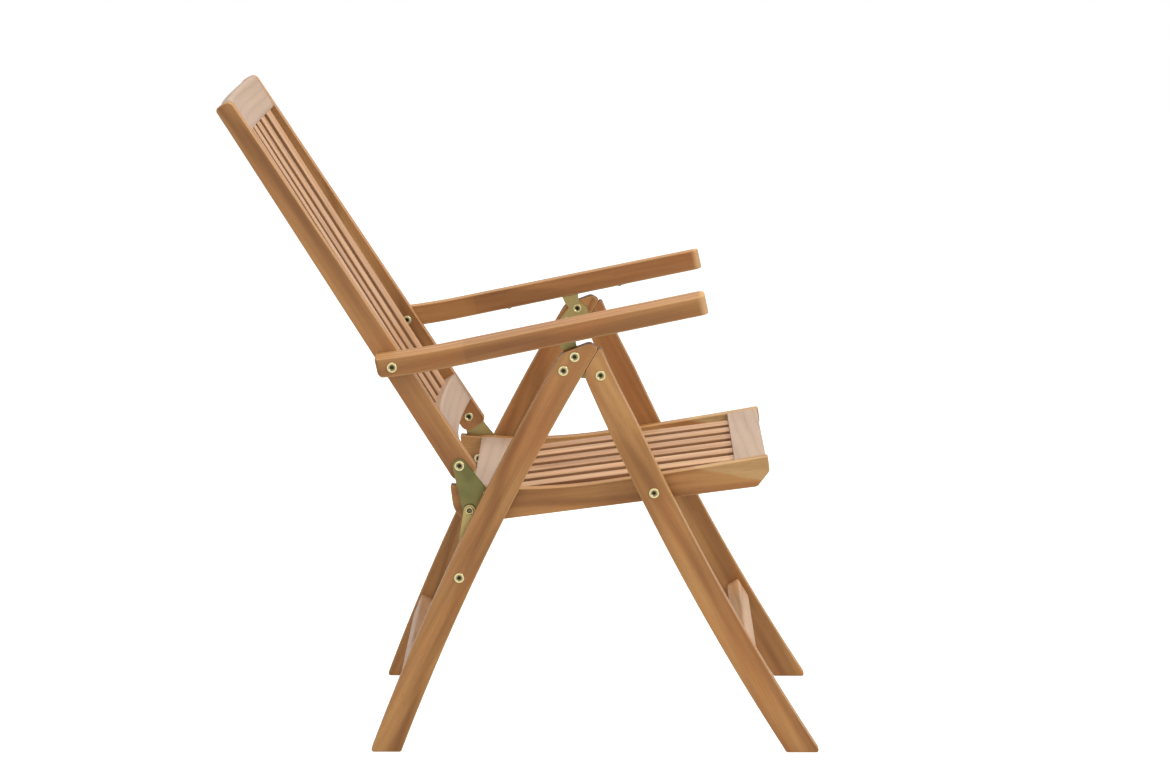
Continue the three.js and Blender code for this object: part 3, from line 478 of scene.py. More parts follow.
def wood(name, colour, contrast=1.0, roughness=0.47, golden=None):
    """Oiled teak: growth rings cut by the board, broad bands, long fibres, short dark pores and a tone for
    each board. The colour may turn golden towards the front end, along a slanting wavy line."""
    material, add, link = new_material(name)
    colour = np.array(colour)
    grain = add("ShaderNodeAttribute", attribute_name="grain").outputs["Vector"]
    tone, soil, wear = own_values(add, "tone", "soil", "wear")

    def noise(layer, detail, rough):
        node = add("ShaderNodeTexNoise", Scale=1.0, Detail=detail, Roughness=rough)
        link(scaled(add, link, grain, GRAIN_SCALES[layer]), node.inputs["Vector"])
        return node.outputs["Fac"]

    def shade(key):
        return tuple(np.clip(colour * SHADES[key], 0, 1))

    band, warm, fibre = noise("band", 2.0, 0.5), noise("warm", 1.0, 0.5), noise("fibre", 3.0, 0.6)
    streak, pore = noise("streak", 2.0, 0.5), noise("pore", 1.0, 0.4)
    ring = add("ShaderNodeTexWave", wave_type="RINGS", rings_direction="X", wave_profile="SIN", **RINGS)
    link(scaled(add, link, grain, GRAIN_SCALES["ring"]), ring.inputs["Vector"])
    ring = ring.outputs["Fac"]

    ring_shade = ramp(add, link, ring, (0.0, shade("dark")), (0.35, tuple(colour)), (1.0, shade("light")))
    base = blended(add, link, "MIX", RING_SHARE * contrast, tuple(colour), ring_shade)
    veins = ramp(add, link, ring, (0.0, VEIN_SHARE * contrast), (0.16, 0.0))
    base = blended(add, link, "MIX", veins, base, shade("vein"))
    glow = ramp(add, link, warm, (0.50, 0.0), (0.72, 1.0))
    glow = computed(add, link, "MULTIPLY", glow, ORANGE_SHARE * contrast)
    base = blended(add, link, "MIX", glow, base, shade("orange"))
    if golden is not None:
        base = golden_end(add, link, base, golden)
    for source, first, last, share in (
        (band, (0.30, 0.30), (0.70, 0.68), 1.0),
        (streak, (0.30, 0.36), (0.70, 0.64), 0.45),
        (fibre, (0.32, 0.36), (0.68, 0.64), 0.35),
    ):
        base = blended(add, link, "SOFT_LIGHT", share * contrast, base, ramp(add, link, source, first, last))
    pores = ramp(add, link, pore, (0.64, 0.0), (0.73, 1.0))
    base = blended(add, link, "MIX", computed(add, link, "MULTIPLY", pores, PORE_SHARE), base, shade("pore"))
    board_tone = ranged(add, link, tone, *TONE_RANGE, first=-1.0)
    base = blended(add, link, "SOFT_LIGHT", 1.0, base, board_tone)
    # Pale edges: part sanded wear, part painted highlight along the arris
    base = blended(add, link, "MIX", computed(add, link, "MULTIPLY", wear, WORN_AND_LIT_SHARE), base, shade("worn_and_lit"))
    # Painted shade in the gaps beside the slats
    base = blended(add, link, "MIX", soil, base, shade("soiled"))

    relief = computed(add, link, "MULTIPLY_ADD", fibre, 0.6, streak)
    bump = add("ShaderNodeBump", Strength=0.18, Distance=0.0003)
    link(computed(add, link, "SUBTRACT", relief, pores), bump.inputs["Height"])
    rough = ranged(add, link, fibre, roughness - 0.07, roughness + 0.10)
    rough = computed(add, link, "MULTIPLY_ADD", wear, WORN_ROUGHNESS, rough, clamp=True)
    shader = surface(add, link, base, rough, bump, IOR=1.45)
    shine = computed(add, link, "MULTIPLY_ADD", wear, WORN_SHINE, WOOD_SHINE, clamp=True)
    link(shine, shader.inputs["Specular IOR Level"])
    return material


def golden_end(add, link, base, golden):
    """Turns the colour golden where the length plus GOLDEN_LEAN times the height, wavered by noise about its
    middle value, lies far enough forward of the seat bolt."""
    coords = add("ShaderNodeTexCoord").outputs["Object"]
    parts = add("ShaderNodeSeparateXYZ")
    link(coords, parts.inputs[0])
    noise = add("ShaderNodeTexNoise", Scale=14.0, Detail=1.0)
    link(coords, noise.inputs["Vector"])
    shift = computed(add, link, "MULTIPLY_ADD", noise.outputs["Fac"], GOLDEN_WAVE, parts.outputs["X"])
    slant = computed(add, link, "MULTIPLY_ADD", parts.outputs["Z"], GOLDEN_LEAN, shift)
    edge = float(SEAT_BOLT[0] + GOLDEN_LEAN * SEAT_BOLT[1]) + GOLDEN_WAVE / 2
    ends = (edge + GOLDEN_FROM, edge + GOLDEN_TO)
    front = ranged(add, link, slant, 0.0, 1.0, *ends, interpolation_type="SMOOTHSTEP")
    share = computed(add, link, "MULTIPLY", front, GOLDEN_SHARE)
    return blended(add, link, "MIX", share, base, tuple(golden))


# Zinc

# Near-black painted shade for the sockets, dishes and shanks of the turned zinc pieces
SOCKET_SHADE = (0.016, 0.013, 0.004)
BROWNER = (0.85, 0.78, 0.6)


def zinc(name, colour, second, roughness):
    """Yellow zinc: metal whose colour goes to a second tint with the piece's mark and in soft clouds, with
    fine wear and with painted shade in its sockets and dishes."""
    material, add, link = new_material(name)
    coords = add("ShaderNodeTexCoord").outputs["Object"]
    soil, tint = own_values(add, "soil", "tint")
    cloud = add("ShaderNodeTexNoise", Scale=17.0, Detail=2.0, Roughness=0.5)
    fine = add("ShaderNodeTexNoise", Scale=1400.0, Detail=2.0, Roughness=0.6)
    for noise in (cloud, fine):
        link(coords, noise.inputs["Vector"])
    patches = ramp(add, link, cloud.outputs["Fac"], (0.42, 0.0), (0.70, 0.42))
    mark = computed(add, link, "ADD", patches, tint, clamp=True)
    base = blended(add, link, "MIX", mark, tuple(colour), tuple(second))
    # Painted shade in the sockets and dishes
    base = blended(add, link, "MIX", soil, base, SOCKET_SHADE)
    rough = ranged(add, link, fine.outputs["Fac"], roughness - 0.08, roughness + 0.14)
    bump = add("ShaderNodeBump", Strength=0.12, Distance=0.0001)
    link(fine.outputs["Fac"], bump.inputs["Height"])
    surface(add, link, base, rough, bump, Metallic=0.85)
    return material


def material(slot):
    """The finish of a material slot, made on first use."""
    name = f"{slot}_finish"
    if name in bpy.data.materials:
        return bpy.data.materials[name]
    colours = bpy.context.scene.chair_colours
    if slot == "teak":
        return wood(name, colours.teak)
    if slot == "deep_teak":
        return wood(name, colours.deep_teak, golden=colours.golden_teak)
    # Cross rails: paler partly from weathering, partly painted light
    if slot == "pale_teak":
        return wood(name, colours.pale_teak, contrast=0.25, roughness=0.5)
    if slot == "slat_teak":
        return wood(name, colours.slat_teak, contrast=0.7, roughness=0.5)
    if slot == "zinc_plate":
        return zinc(name, colours.plate, colours.link, roughness=0.36)
    return zinc(name, colours.bolt, tuple(c * s for c, s in zip(colours.bolt, BROWNER)), roughness=0.3)


# Legs, measured down from their pivot and out from the edges that nest

NEST_GAP = 0.0003
FOOT_RADIUS = 0.004
TAPER_FROM = 0.09
GRAIN_LEAN = 0.085
# The rear leg's top above the pivot, its ridge, where its outer edge ends, and the radii there
REAR_TOP, REAR_RIDGE, REAR_SHOULDER = 0.0344, 0.016, -0.0014
SHOULDER_RADIUS, NEST_RADIUS, RIDGE_RADIUS = 0.020, 0.005, 0.010
# The front leg's outer edge and its top against the rear leg above the pivot, with its taper and radius
FRONT_SHOULDER, FRONT_TOP, FRONT_TAPER, FRONT_RADIUS = 0.037, 0.0333, 0.0045, 0.003
STRETCHER_RADIUS, STRETCHER_ARRIS = 0.003, 0.0005
# A rail stops this short of the boards beside it
END_PLAY = 0.0002
SQUARE = np.array([[-1, -1], [1, -1], [1, 1], [-1, 1]])


def leg_point(lean, down, out):
    """A place on a leg: down from the pivot along a circle, and out from the nesting edge square to it."""
    sizes = bpy.context.scene.chair_sizes
    hub = sizes.leg_curve - sizes.leg_inset
    reach = sizes.leg_curve + np.asarray(out, float)
    turn = lean + np.asarray(down, float) / sizes.leg_curve
    x = hub * math.cos(lean) - reach * np.cos(turn)
    z = hub * math.sin(lean) - reach * np.sin(turn)
    return LEG_PIVOT + np.stack(np.broadcast_arrays(x, z), -1)


def foot_down(lean, out):
    """How far down the leg the floor is, where the height of the circle has fallen to zero."""
    sizes = bpy.context.scene.chair_sizes
    rise = LEG_PIVOT[1] + (sizes.leg_curve - sizes.leg_inset) * math.sin(lean)
    return (math.asin(rise / (sizes.leg_curve + out)) - lean) * sizes.leg_curve


def leg_edge(lean, out, top, taper=0.0, count=24):
    """Places down one edge of a leg. Above TAPER_FROM it draws in, by a share that grows evenly."""
    down = np.linspace(-top, foot_down(lean, out), count)
    share = np.clip((TAPER_FROM - down) / TAPER_FROM, 0, 1)
    return leg_point(lean, down, out + taper * share)


def leg_corners(outer, nest, outer_radius, nest_radius):
    """The corners of a leg down its outer edge and up its nesting edge, with a radius at each end of both."""
    corners = [(*p, 0.0) for p in outer] + [(*p, 0.0) for p in nest[::-1]]
    corners[0] = (*outer[0], outer_radius)
    corners[len(outer) - 1] = (*outer[-1], FOOT_RADIUS)
    corners[len(outer)] = (*nest[-1], FOOT_RADIUS)
    corners[-1] = (*nest[0], nest_radius)
    return corners


def rear_leg_corners(sizes):
    """The rear leg, square on top beside the nesting edge and then cut down to a rounded shoulder outside."""
    lean = sizes.rear_lean
    outer = leg_edge(lean, sizes.leg_width, REAR_SHOULDER)
    corners = leg_corners(outer, leg_edge(lean, NEST_GAP, REAR_TOP), SHOULDER_RADIUS, NEST_RADIUS)
    return corners + [(*leg_point(lean, -REAR_TOP, REAR_RIDGE), RIDGE_RADIUS)]


def front_leg_corners(sizes):
    """The front leg, whose top ends against the rear leg and whose heel is an arc about the pivot. The heel's
    tangents meet its radius times the tangent of half the angle between the legs away."""
    rear, front = sizes.rear_lean, sizes.front_lean
    heel_radius = sizes.leg_inset - NEST_GAP
    heel = heel_radius * math.tan((front - rear) / 2)
    outer = leg_edge(front, -sizes.leg_width, FRONT_SHOULDER, FRONT_TAPER)
    corners = leg_corners(outer, leg_edge(front, -NEST_GAP, -2 * heel), FRONT_RADIUS, 0.0)
    corners.append((*leg_point(front, -heel, -NEST_GAP), heel_radius))
    return corners + [(*leg_point(rear, -FRONT_TOP, 0.0), FRONT_RADIUS)]


class ARMCHAIR_OT_legs(bpy.types.Operator):
    """Make the four curved legs and the two stretchers between them"""

    bl_idname = "armchair.legs"
    bl_label = "Legs and stretchers"

    def execute(self, context):
        sizes = context.scene.chair_sizes
        rear, front = sizes.rear_lean, sizes.front_lean
        for name, sign in SIDES:
            for kind, corners, lean, seed in (
                ("rear", rear_leg_corners(sizes), rear, 11),
                ("front", front_leg_corners(sizes), front, 23),
            ):
                grain = (in_space(LEG_PIVOT), along(lean + GRAIN_LEAN - math.pi / 2), seed + int(sign))
                outline = rounded(corners, 16)
                side_board(f"{kind}_leg_{name}", sign, f"{kind}_frame", "teak", outline, grain, 6)
        for kind, lean, outer, up, height, depth, inset, seed in (
            ("rear", rear, sizes.leg_width, 0.113, 0.037, 0.020, 0.003, 31),
            ("front", front, -sizes.leg_width, 0.168, 0.036, 0.022, 0.0095, 37),
        ):
            end = layer_of(f"{kind}_leg_right")[0] - END_PLAY
            inward = -math.copysign(1, outer)
            down = foot_down(lean, outer) - up - height / 2
            centre = leg_point(lean, down, outer + inward * (inset + depth / 2))
            corners = turned_by(SQUARE * (depth / 2, height / 2), lean + down / sizes.leg_curve) + centre
            outline = rounded([(*corner, STRETCHER_RADIUS) for corner in corners])
            shape = board_mesh(outline, -end, end, STRETCHER_ARRIS, SIDE_VIEW)
            grain = (in_space(centre), ACROSS, seed)
            node = f"{kind}_stretcher"
            finish_piece(f"{node}_board", f"{kind}_frame", "slat_teak", shape, grain, node)
        return {"FINISHED"}


# Seat, drawn along its rail and square to it from the seat bolt

# The rail's straight underside, and its top at the waist that lies behind the bolt
SEAT_FLOOR, WAIST, WAIST_HEIGHT = -0.0177, -0.09, 0.0374
# How far the dish rises behind the waist and ahead of it, and over what length
REAR_RISE, REAR_RUN, FRONT_RISE, FRONT_RUN = 0.0263, 0.22, 0.0082, 0.271
RAIL_REAR, RAIL_NOSE, RAIL_CHAMFER = -0.3108, 0.181, 0.022
RAIL_TOP_RADIUS, RAIL_REAR_RADIUS, CHAMFER_RADIUS = 0.003, 0.036, 0.009
CROSS_RADIUS, CROSS_THICKNESS, CROSS_ARRIS = 0.0014, 0.024, 0.0006
SLAT_WIDTH, SLAT_THICKNESS, SLAT_END_ARRIS = 0.037, 0.012, 0.001
SEAT_SLAT_ENDS, SEAT_SLAT_TOP = (-0.2225, 0.1345), 0.0376
# The painted shade in the gaps beside a slat: its share, and where it begins and how fast it grows, in arris
# radii
GAP_SHADE_SHARE, GAP_SHADE_FROM, GAP_SHADE_RUN = 0.9, 0.3, 0.8


def seat_height(forward):
    """Height of the dished top of the seat rail: a parabola behind the waist, a power of 1.5 ahead of it."""
    forward = np.asarray(forward, float)
    behind = np.clip((WAIST - forward) / REAR_RUN, 0, None)
    ahead = np.clip((forward - WAIST) / FRONT_RUN, 0, None)
    return SEAT_FLOOR + WAIST_HEIGHT + REAR_RISE * behind**2 + FRONT_RISE * ahead**1.5


def dished_top(places, radius):
    """Corners along the top of the seat rail, with a radius at both ends."""
    top = [(x, z, 0.0) for x, z in zip(places, seat_height(places))]
    top[0] = (*top[0][:2], radius)
    top[-1] = (*top[-1][:2], radius)
    return top


def cross_rail(front, depth):
    """The section of a cross rail: its top follows the dish of the side rails."""
    top = dished_top(np.linspace(front, front - depth, 7), CROSS_RADIUS)
    foot = seat_height(front - depth / 2) - CROSS_THICKNESS
    return top + [(front - depth, foot, CROSS_RADIUS), (front, foot, CROSS_RADIUS)]


def on_body(outline, origin, angle):
    """Turns an outline by its body's angle and lays it at the body's bolt."""
    return turned_by(outline, angle) + origin


def slat_section(width, thickness):
    """A rectangle about zero with rounded corners."""
    arris = bpy.context.scene.chair_sizes.slat_arris
    return rounded([(a * width / 2, b * thickness / 2, arris) for a, b in SQUARE], 6)


def finish_slat(node, body, section, ends, axes, middle, grain, face):
    """Makes a slat between two ends. Painted shade sets in evenly beside it, from the edge of the face down,
    standing in for the shade in the gaps between the slats.
    """
    vertices, *rest = board_mesh(section, *ends, SLAT_END_ARRIS, axes)
    below = (np.max(vertices @ face) - vertices @ face) / bpy.context.scene.chair_sizes.slat_arris
    # Painted shade down the sides of the slat, where the gaps lie in shade
    soil = GAP_SHADE_SHARE * np.clip((below - GAP_SHADE_FROM) / GAP_SHADE_RUN, 0, 1)
    shape = (vertices + middle, *rest)
    finish_piece(f"{node}_board", body, "slat_teak", shape, (middle, *grain), node, soil=soil)


class ARMCHAIR_OT_seat(bpy.types.Operator):
    """Make the dished side rails, the cross rails and the slats of the seat"""

    bl_idname = "armchair.seat"
    bl_label = "Seat"

    def execute(self, context):
        sizes = context.scene.chair_sizes
        slope = sizes.seat_slope
        corners = dished_top(np.linspace(RAIL_NOSE, RAIL_REAR, 40), RAIL_TOP_RADIUS) + [
            (RAIL_REAR, SEAT_FLOOR, RAIL_REAR_RADIUS),
            (RAIL_NOSE - RAIL_CHAMFER, SEAT_FLOOR, CHAMFER_RADIUS),
            (RAIL_NOSE, SEAT_FLOOR + RAIL_CHAMFER, CHAMFER_RADIUS),
        ]
        outline = on_body(rounded(corners, 14), SEAT_BOLT, slope)
        origin = in_space(SEAT_BOLT)
        for name, sign in SIDES:
            grain = (origin, along(slope), 41 + int(sign))
            side_board(f"seat_rail_{name}", sign, "seat", "deep_teak", outline, grain)
        inner = layer_of("seat_rail_right")[0] - END_PLAY
        for node, front, depth, seed in (
            ("seat_front_rail", 0.178, 0.049, 51),
            ("seat_rear_rail", -0.217, 0.059, 53),
        ):
            outline = on_body(rounded(cross_rail(front, depth)), SEAT_BOLT, slope)
            shape = board_mesh(outline, -inner, inner, CROSS_ARRIS, SIDE_VIEW)
            finish_piece(f"{node}_board", "seat", "pale_teak", shape, (origin, ACROSS, seed), node)
        ahead, up, side = along(slope)
        section = slat_section(SLAT_WIDTH, SLAT_THICKNESS)
        for k in range(6):
            node = f"seat_slat_{k + 1}"
            low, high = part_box(node)
            middle = origin + side * (low.y + high.y) / 2
            middle = middle + up * (SEAT_FLOOR + SEAT_SLAT_TOP - SLAT_THICKNESS / 2)
            grain = ((ahead, side, up), 61 + 3 * k)
            finish_slat(node, "seat", section, SEAT_SLAT_ENDS, (side, up, ahead), middle, grain, up)
        return {"FINISHED"}


# Back, drawn forward and up its stile from the back pivot

STILE_REAR, STILE_FOOT, STILE_TOP = -0.0196, -0.020, 0.662
DEPTH_AT_PIVOT, DEPTH_AT_TOP = 0.040, 0.0274
BACK_SLAT_ENDS, BACK_SLAT_FACE = (0.069, 0.605), 0.013


def back_curve(across, hollow, half):
    """How far the curved back has come forward from its middle, as a parabola across it."""
    return hollow * (np.asarray(across) / half) ** 2


class ARMCHAIR_OT_back(bpy.types.Operator):
    """Make the tapered stiles, the two curved rails and the slats of the back"""

    bl_idname = "armchair.back"
    bl_label = "Back"

    def execute(self, context):
        sizes = context.scene.chair_sizes
        tilt, hollow = sizes.back_tilt, sizes.back_hollow
        depth_at_foot = DEPTH_AT_PIVOT + (DEPTH_AT_TOP - DEPTH_AT_PIVOT) * STILE_FOOT / STILE_TOP
        corners = [
            (STILE_REAR, STILE_FOOT, 0.013),
            (STILE_REAR + depth_at_foot, STILE_FOOT, 0.008),
            (STILE_REAR + DEPTH_AT_TOP, STILE_TOP, 0.0105),
            (STILE_REAR, STILE_TOP, 0.0065),
        ]
        outline = on_body(rounded(corners, 12), BACK_PIVOT, tilt)
        origin = in_space(BACK_PIVOT)
        ahead, up, side = along(tilt)
        for name, sign in SIDES:
            grain = (origin, along(tilt + math.pi / 2), 71 + int(sign))
            side_board(f"back_stile_{name}", sign, "backrest", "teak", outline, grain)
        half = layer_of("back_stile_right")[0]
        across = np.linspace(END_PLAY - half, half - END_PLAY, 33)
        for node, low, height, thickness, face, arris, seed in (
            ("back_top_rail", 0.600, 0.062, 0.022, 0.0275, (0.0035, 0.0075), 81),
            ("back_lower_rail", 0.022, 0.052, 0.025, 0.0385, (0.004, 0.004), 83),
        ):
            front = STILE_REAR + face - hollow + back_curve(across, hollow, half)
            corners = [(x, y, 0.0) for x, y in zip(front, across)]
            corners += [(x - thickness, y, 0.0) for x, y in zip(front[::-1], across[::-1])]
            vertices, *rest = board_mesh(rounded(corners), low, low + height, arris, (ahead, side, up), 8)
            grain = (origin, (side, up, ahead), seed)
            finish_piece(f"{node}_board", "backrest", "pale_teak", (vertices + origin, *rest), grain, node)
        for k in range(6):
            node = f"back_slat_{k + 1}"
            low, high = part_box(node)
            offset = (low.y + high.y) / 2
            lead = back_curve(offset, hollow, half)
            # The slat turns with the parabola, whose slope is twice its rise over its distance across
            turn = math.atan2(2 * lead, abs(offset)) * math.copysign(1, offset)
            section = turned_by(slat_section(SLAT_THICKNESS, SLAT_WIDTH), -turn)
            forward = STILE_REAR + BACK_SLAT_FACE + lead - SLAT_THICKNESS / 2
            middle = origin + ahead * forward + side * offset
            grain = ((up, side, ahead), 91 + 5 * k)
            face = ahead * math.cos(turn) - side * math.sin(turn)
            finish_slat(node, "backrest", section, BACK_SLAT_ENDS, (ahead, side, up), middle, grain, face)
        return {"FINISHED"}


# Armrests, drawn forward and up from the armrest bolt

ARM_FRONT, ARM_REAR, ARM_ARRIS = 0.489, 0.024, 0.0019
# Rounding of the ends in plan, and of the rear end's lower edge
ARM_NOSE, ARM_HEEL, ARM_HEEL_UNDER = 0.0125, 0.006, 0.009
# A finger joint: the tone of the wood changes over its narrow seam
ARM_JOINT, ARM_SEAM, TONE_BEHIND, TONE_AHEAD = 0.112, 0.0006, 0.9, -0.6
# The underside rises to the rear, the top falls outwards, and the board thins to the front
ARM_UNDER, ARM_BEND, ARM_BEND_RUN, ARM_FALL, ARM_THINNING = -0.0181, 0.0035, 0.09, 0.0034, 0.0012
# The nose is painted paler over a share of its rounding, part wear and part painted highlight, and the top is
# painted paler as a sheen
NOSE_PALING, NOSE_PALING_RUN, TOP_SHEEN = 1.5, 0.6, 0.22


def arm_plan(inner, outer):
    """The plan of an armrest as facing points on its inner and outer edges. Near an end the edges draw in by
    r(1 - cos t) where they still have r(1 - sin t) to go."""
    t = np.linspace(0, math.pi / 2, 10)
    length = np.concatenate([
        (ARM_HEEL * (1 - np.sin(t)) - ARM_REAR)[::-1],
        np.linspace(ARM_HEEL - ARM_REAR, 0.10, 14)[1:],
        [ARM_JOINT, ARM_JOINT + ARM_SEAM],
        np.linspace(0.17, ARM_FRONT - ARM_NOSE, 9)[:-1],
        ARM_FRONT - ARM_NOSE * (1 - np.sin(t)),
    ])
    straight = np.zeros(len(length) - 2 * len(t))
    draw = np.concatenate([(ARM_HEEL * (1 - np.cos(t)))[::-1], straight, ARM_NOSE * (1 - np.cos(t))])
    inside = np.column_stack([length, inner + draw])
    outside = np.column_stack([length, outer - draw])
    return np.concatenate([inside, outside[::-1]])


class ARMCHAIR_OT_armrests(bpy.types.Operator):
    """Make the two armrests, whose tops fall outwards and whose ends are rounded in plan"""

    bl_idname = "armchair.armrests"
    bl_label = "Armrests"

    def execute(self, context):
        sizes = context.scene.chair_sizes
        ahead, up, side = along(sizes.arm_slope)
        origin = in_space(ARM_BOLT)
        for name, sign in SIDES:
            node = f"armrest_{name}"
            inner, outer = layer_of(node)
            plan = arm_plan(inner, outer)
            if sign < 0:
                plan = (plan * (1, -1))[::-1]
            # Drawn a metre thick, so that w tells the underside from the top
            vertices, *rest = board_mesh(plan, 0.0, 1.0, ARM_ARRIS, np.eye(3), 7, ladder=True)
            x, y, w = vertices.T
            bend = np.clip((ARM_BEND_RUN - x) / ARM_BEND_RUN, 0, None) ** 2
            left = np.clip(x + ARM_REAR, 0, ARM_HEEL_UNDER)
            lift = ARM_HEEL_UNDER - np.sqrt(ARM_HEEL_UNDER**2 - (ARM_HEEL_UNDER - left) ** 2)
            under = ARM_UNDER + ARM_BEND * bend
            thickness = sizes.arm_thickness - ARM_THINNING * np.clip(x, 0, None) / ARM_FRONT
            top = under + thickness - ARM_FALL * (np.abs(y) - inner) / (outer - inner)
            z = np.where(w < 0.5, under + w + lift, top + (w - 1.0))
            vertices = np.outer(x, ahead) + np.outer(y, side) + np.outer(z, up) + origin
            grain = (origin, (ahead, side, up), 131 + int(sign))
            tone = np.where(x < ARM_JOINT + ARM_SEAM / 2, TONE_BEHIND, TONE_AHEAD)
            # Painted paler at the nose, part wear and part painted highlight, and over the whole top as a
            # painted sheen
            nose = NOSE_PALING * np.clip((x - ARM_FRONT + ARM_NOSE) / (NOSE_PALING_RUN * ARM_NOSE), 0, 1)
            wear = np.maximum.reduce([edge_wear(vertices, 7), nose, np.where(w > 0.999, TOP_SHEEN, 0)])
            shape = (vertices, *rest)
            finish_piece(f"{node}_board", node, "teak", shape, grain, node, tone=tone, wear=wear)
        return {"FINISHED"}


# Plates and bolts

PLATE_BEVEL = 0.00035
# The shank's radius and its share of painted shade, the head's height, and the nut's radius and height
SHANK, SHANK_SHADE, HEAD_HEIGHT, NUT_RADIUS, NUT_HEIGHT = 0.0034, 0.3, 0.002, 0.0072, 0.0018
# A turned ring: its eased rim, its crest and its dish as shares of the radius, and the mouth of its socket
RIM, CREST, DISH, SOCKET_MOUTH = 0.0003, 0.78, 0.52, 0.0033
LINK_RADIUS, LINK_THICKNESS, LINK_ARRIS = 0.0093, 0.0025, 0.0004
# The pin's radius, its head's radius, how far it sinks, and how much painted shade its socket and dish get
PIN_RADIUS, PIN_HEAD, PIN_SUNK, PIN_SHADE = 0.0030, 0.0062, 0.0004, 0.85
COLLAR, COLLAR_HEIGHT = 0.0060, 0.0024


def turned_mesh(profile, centre, sign):
    """A turned piece. Each row of its profile is a radius, a distance from the centre plane and a share of
    painted shade. No radius stands for a hexagon: half its width over the cosine of the angle to a flat."""
    sizes = bpy.context.scene.chair_sizes
    steps = sizes.turned_steps
    rows = np.array(profile, float)
    t = np.arange(steps) / steps * 2 * math.pi
    fold = (t + math.pi / 6) % (math.pi / 3) - math.pi / 6
    radius = np.where(rows[:, :1] > 0, rows[:, :1], sizes.socket_width / 2 / np.cos(fold)[None])
    x = centre[0] + radius * np.cos(t)
    z = centre[1] + radius * np.sin(t)
    y = np.broadcast_to(sign * rows[:, 1:2], x.shape)
    vertices = np.stack([x, y, z], -1).reshape(-1, 3)
    count = len(rows)
    caps = list(range(steps))[::-1], list(range((count - 1) * steps, count * steps))
    faces = [caps[0], *ring_quads(count, steps), caps[1]]
    if sign > 0:
        faces = [face[::-1] for face in faces]
    smooth = [False] + [True] * (len(faces) - 2) + [False]
    return (vertices, faces, smooth), np.repeat(rows[:, 2], steps)


def ring_rows(r, h, face, way):
    """A rounded ring of radius r and height h round a dished face with a hexagon socket, from the rim in."""
    crest, dish = CREST * r, DISH * r
    # The third number of each row is a share of painted shade, which grows down the dish into the socket
    # where the shade falls
    rows = (
        (r - RIM, 0.0, 0.0),
        (r, RIM, 0.0),
        (r, 0.50 * h, 0.0),
        (r - 0.0004, 0.78 * h, 0.0),
        (r - 0.0010, 0.95 * h, 0.0),
        (crest, h, 0.0),
        (crest - 0.0006, 0.93 * h, 0.12),
        (dish + 0.0006, 0.62 * h, 0.42),
        (dish, 0.42 * h, 0.55),
        (SOCKET_MOUTH, 0.24 * h, 0.72),
        (0.0, 0.20 * h, 0.96),
        (0.0, 0.0002, 1.0),
    )
    return [(radius, face + way * height, shade_share) for radius, height, shade_share in rows]


def sleeve_rows(inner, end):
    """A sleeve nut from its socket to the end of its shank."""
    seat = inner + NUT_HEIGHT
    shank = [(SHANK, seat, SHANK_SHADE), (SHANK, end, SHANK_SHADE)]
    return ring_rows(NUT_RADIUS, NUT_HEIGHT, seat, -1)[::-1] + shank


BOLTS = (
    ("bracket_upper_bolt", "rear_frame"),
    ("bracket_lower_bolt", "rear_frame"),
    ("link_bolt", "rear_frame"),
    ("leg_pivot_bolt", "front_frame"),
    ("seat_pivot_bolt", "front_frame"),
    ("back_pivot_bolt", "back_pivots"),
    ("armrest_bolt", "arm_bolts"),
)

# Node, body (none means the armrest), slot, share of the second tint, and what the left one adds to it, which
# is partly a painted reflection of the wood
PLATES = (
    ("leg_hinge_bracket", "rear_frame", "zinc_plate", 0.40, 0.75),
    ("back_hinge_plate", "seat", "zinc_plate", 0.0, 0.9),
    ("notch_channel", None, "zinc_plate", 0.10, 0.0),
    ("link_bush", "rear_frame", "zinc_bolt", 0.5, 0.0),
    ("seat_pivot_bush", "front_frame", "zinc_bolt", 0.5, 0.0),
    ("armrest_washer", "arm_washers", "zinc_bolt", 0.5, 0.0),
    ("hinge_plate_screw", "seat", "zinc_bolt", 0.3, 0.0),
)


class ARMCHAIR_OT_bolts(bpy.types.Operator):
    """Make the bolts with a hexagon socket in the head and a sleeve nut on the inner end"""

    bl_idname = "armchair.bolts"
    bl_label = "Bolts"

    def execute(self, context):
        for stem, body in BOLTS:
            for name, sign in SIDES:
                node = f"{stem}_{name}"
                low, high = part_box(node)
                inner, outer = layer_of(node)
                face = outer - HEAD_HEIGHT
                rows = sleeve_rows(inner, face) + ring_rows((high.z - low.z) / 2, HEAD_HEIGHT, face, 1)
                shape, soil = turned_mesh(rows, bolt_place(node), sign)
                finish_piece(f"{node}_turned", body, "zinc_bolt", shape, None, node, soil=soil)
        return {"FINISHED"}


